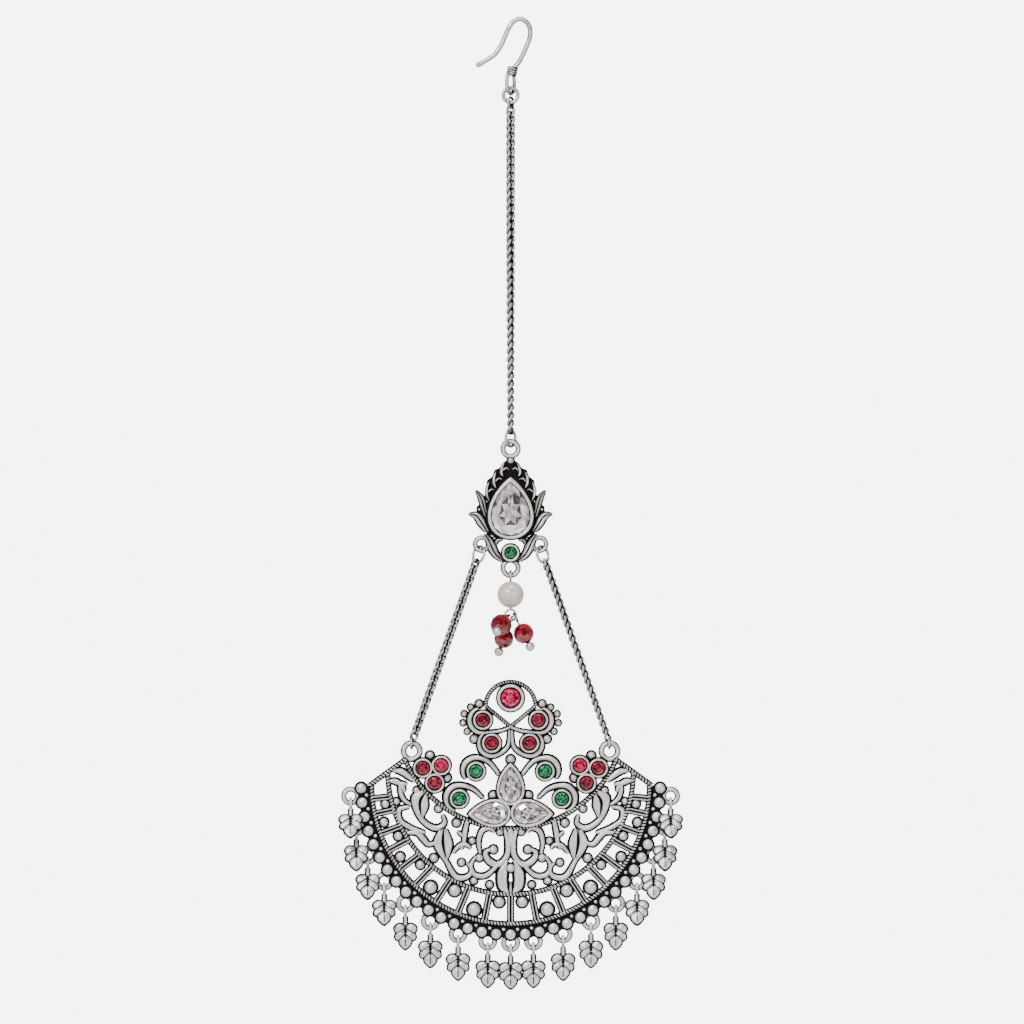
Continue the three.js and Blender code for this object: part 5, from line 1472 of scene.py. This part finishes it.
@dataclass
class LeafFringe:
    """The seventeen lobed leaf drops."""

    height: float = FAN_HEIGHT
    depth: float = -0.35
    ring: float = 0.82
    ring_wire: float = 0.42
    drop: float = 1.21

    def lobe(self, draft: Draft, x: float, y: float, long: float, wide: float, turn: float, rise: float,
             point: float = 0.05) -> None:
        """One swelling lobe, its outer end a little pointed, with its foot and sides black: oxide where it
        meets the leaf, and painted shade on its sides.

        Args:
            draft: The piece that it goes into.
            x: Its place, to the right.
            y: Its place, up.
            long: Its length.
            wide: Its width.
            turn: Its turn in degrees.
            rise: Its height over the foot.
            point: How far its outer end is drawn out.
        """
        if rise > 0.3:
            self.lobe(draft, x, y, long + 2 * OUTLINE, wide + 2 * OUTLINE, turn, 0.16, point)
        rows = []
        for i in range(9):
            a = rad(mix(-90, 90, i / 8))
            row = []
            for t in turns(22):
                out = math.cos(a) * (1 + point * max(0.0, math.cos(t)) ** 8)
                u, v = long / 2 * out * math.cos(t), wide / 2 * math.cos(a) * math.sin(t)
                c, s = math.cos(rad(turn)), math.sin(rad(turn))
                front = rise * math.sin(a) if a > 0 else 0.28 * math.sin(a)
                # the sides, seen side-on from the front, and the underlay are black: oxide at the foot and
                # painted shade on the sides
                tone = clamp(1.7 - math.sin(a) * 2.6) if a > 0 and rise > 0.3 else 1.0
                row.append(((x + u * c - v * s, y + u * s + v * c, front), tone))
            rows.append(row)
        draft.rows(rows)

    def leaf(self) -> Draft:
        """One leaf drop about its ring's middle.

        Returns:
            The drawing.
        """
        draft = Draft()
        wire = self.ring_wire / 2
        rows = []
        for t in turns(28):
            row = []
            for s in turns(10):
                out = self.ring + wire * math.cos(s)
                # the ring's flanks, seen side-on from the front, are black: painted shade with oxide
                tone = 1.0 if abs(math.sin(s)) > 0.8 else 0.0
                row.append(((wire * 1.45 * math.sin(s), out * math.sin(t), out * math.cos(t)), tone))
            rows.append(row)
        draft.rows(rows, closed=True)
        stem = [(0, y, 0) for y in (-0.85, -1.3, -1.9, -2.5, -3.0)]
        draft.sweep(stem, [0.85, 0.7, 0.9], Profile.RIB, -0.3, 0.34)
        for side in (-1, 1):
            turn = 90 - side * 90
            self.lobe(draft, side * 1.02, -3.4, 2.05, 2.0, turn + side * 8, 0.46)
            self.lobe(draft, side * 0.9, -4.6, 2.15, 1.8, turn - side * 32, 0.44)
        self.lobe(draft, 0, -5.65, 2.3, 2.4, -90, 0.42, 0.28)
        for side in (-1, 1):
            for low, high in (((0.1, -3.3), (1.75, -4.25)), ((0.1, -4.4), (1.35, -5.5))):
                stops = [Vector((side * mix(low[0], high[0], k / 6), mix(low[1], high[1], k / 6),
                                 0.3 + 0.17 * math.sin(math.pi * (0.25 + k / 9)))) for k in range(7)]
                draft.tube(stops, [0.1, 0.06], 6, tone=1.0)
        vein = [Vector((0, mix(-2.7, -6.5, k / 8), 0.26 + 0.16 * (k > 5))) for k in range(9)]
        draft.tube(vein, [0.12, 0.1], 6, tone=1.0)
        return draft

    def build(self, finishes: Finishes) -> None:
        """Hangs the leaves.

        Args:
            finishes: The jewel's materials.
        """
        spots = [(0.0, FAN_EDGE[1] - FRINGE_RADIUS, 0)]
        for pair in range(8):
            x, y = fringe_loop(pair)
            lean = {7: 30, 6: 22, 5: 22, 4: 22}.get(pair, 0)
            spots += [(-x, y, lean), (x, y, lean)]
        for number, (x, y, lean) in enumerate(sorted(spots), 1):
            place = (upright(self.height) @ Matrix.Translation((x, y - self.drop, self.depth))
                     @ Matrix.Rotation(rad(-lean), 4, "X"))
            node = f"leaf_{number:02d}"
            self.leaf().make(f"{node}_drop", PENDANT, finishes.silver, nodes=[node], place=place)


@dataclass
class Studio:
    """Camera, sweep and lights."""

    middle: Vector = field(default_factory=lambda: Vector((-0.00135, 0, -0.0883)))
    distance: float = 1.5
    view_height: float = 0.1843
    sensor: float = 36.0
    curve_start: float = 1.7
    curve_radius: float = 0.6
    floor_z: float = -0.3
    glow: float = 5.2

    def camera(self) -> None:
        """Aims a long lens straight at the jewel's face."""
        data = bpy.data.cameras.new("camera")
        data.sensor_width = self.sensor
        data.lens = self.sensor * self.distance / self.view_height
        data.clip_end = 20
        eye = bpy.data.objects.new("camera", data)
        eye.location = self.middle + Vector((0, -self.distance, 0))
        eye.rotation_euler = (math.pi / 2, 0, 0)
        bpy.context.scene.collection.objects.link(eye)
        bpy.context.scene.camera = eye

    def sweep(self) -> None:
        """A pale floor that runs up into a backdrop, whose middle behind the jewel glows as a painted pool of
        light.
        """
        mesh = bpy.data.meshes.new("sweep")
        start, radius = self.curve_start, self.curve_radius
        line = [(-4.0, 0.0), (start, 0.0)]
        line += [(start + radius * math.sin(rad(a)), radius - radius * math.cos(rad(a)))
                 for a in range(6, 91, 6)]
        line.append((start + radius, 3.0))
        points = [(x, y, z + self.floor_z) for y, z in line for x in (-4.0, 4.0)]
        mesh.from_pydata(points, [], [(2 * i, 2 * i + 1, 2 * i + 3, 2 * i + 2) for i in range(len(line) - 1)])
        mesh.shade_smooth()
        made, sheet, shader = blank("pale_sweep")
        grain = sheet.add("ShaderNodeTexNoise", Scale=3.0).outputs["Fac"]
        sheet.feed(shader.inputs["Base Color"], sheet.blend(grain, (0.9, 0.9, 0.9, 1), (0.93, 0.93, 0.93, 1)))
        shader.inputs["Roughness"].default_value = 0.9
        place = sheet.add("ShaderNodeTexCoord").outputs["Object"]
        aside = sheet.add("ShaderNodeVectorMath", operation="MULTIPLY_ADD")
        for socket, value in enumerate((place, (1.0, 0.0, 1.0), (0.0, 0.0, 0.1))):
            sheet.feed(aside.inputs[socket], value)
        away = sheet.add("ShaderNodeVectorMath", operation="LENGTH")
        sheet.feed(away.inputs[0], aside.outputs[0])
        near = sheet.add("ShaderNodeMapRange", interpolation_type="SMOOTHSTEP", Value=away.outputs["Value"],
                         From_Min=0.66, From_Max=0.34)
        depth = sheet.add("ShaderNodeSeparateXYZ", Vector=place).outputs["Y"]
        far = sheet.add("ShaderNodeMapRange", interpolation_type="SMOOTHSTEP", Value=depth, From_Min=1.0,
                        From_Max=start)
        # the backdrop glows as a painted pool of light behind the jewel, and only faintly elsewhere
        glow = sheet.maths("MULTIPLY", near.outputs["Result"], far.outputs["Result"])
        sheet.feed(shader.inputs["Emission Color"], sheet.blend(glow, (0.03, 0.03, 0.03, 1), (1, 1, 1, 1)))
        shader.inputs["Emission Strength"].default_value = self.glow
        mesh.materials.append(made)
        floor = bpy.data.objects.new("sweep", mesh)
        bpy.context.scene.collection.objects.link(floor)

    def light(self, name: str, place: Sequence[float], size: float, power: float) -> None:
        """One soft box aimed at the jewel.

        Args:
            name: Its name.
            place: Where it stands, in metres.
            size: Width of the lamp.
            power: Its power in watts.
        """
        data = bpy.data.lights.new(name, "AREA")
        data.shape, data.size, data.energy = "SQUARE", size, power
        lamp = bpy.data.objects.new(name, data)
        lamp.location = place
        lamp.rotation_euler = (self.middle - Vector(place)).to_track_quat("-Z", "Y").to_euler()
        bpy.context.scene.collection.objects.link(lamp)

    def build(self) -> None:
        """Sets up the studio."""
        self.camera()
        self.sweep()
        self.light("key", (-0.6, -1.0, 0.6), 0.3, 24)
        self.light("fill", (0.9, -0.9, 0.0), 0.4, 6)
        self.light("crown", (0.1, -0.4, 1.1), 0.3, 13)
        world = bpy.data.worlds.new("studio")
        world.use_nodes = True
        sheet = NodeSheet(world.node_tree)
        way = sheet.add("ShaderNodeTexCoord").outputs["Generated"]
        up = sheet.add("ShaderNodeSeparateXYZ", Vector=way).outputs["Z"]
        lift = sheet.add("ShaderNodeMapRange", interpolation_type="SMOOTHSTEP", Value=up, From_Min=-0.4,
                         From_Max=0.7)
        sheet.feed(world.node_tree.nodes["Background"].inputs[0],
                   sheet.blend(lift.outputs["Result"], (0.04, 0.038, 0.036, 1), (0.33, 0.32, 0.31, 1)))
        bpy.context.scene.world = world


def main() -> None:
    """Dresses the jewel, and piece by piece."""
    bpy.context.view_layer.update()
    Studio().build()
    finishes = Finishes()
    hooks = HookAndRings()
    hooks.hook(finishes)
    hooks.rings(finishes)
    Chains().build(finishes)
    Medallion().build(finishes)
    PearlDrop().build(finishes)
    FanPendant().build(finishes)
    LeafFringe().build(finishes)
    LOG.info("maang tikka dressed")


if __name__ == "__main__":
    main()
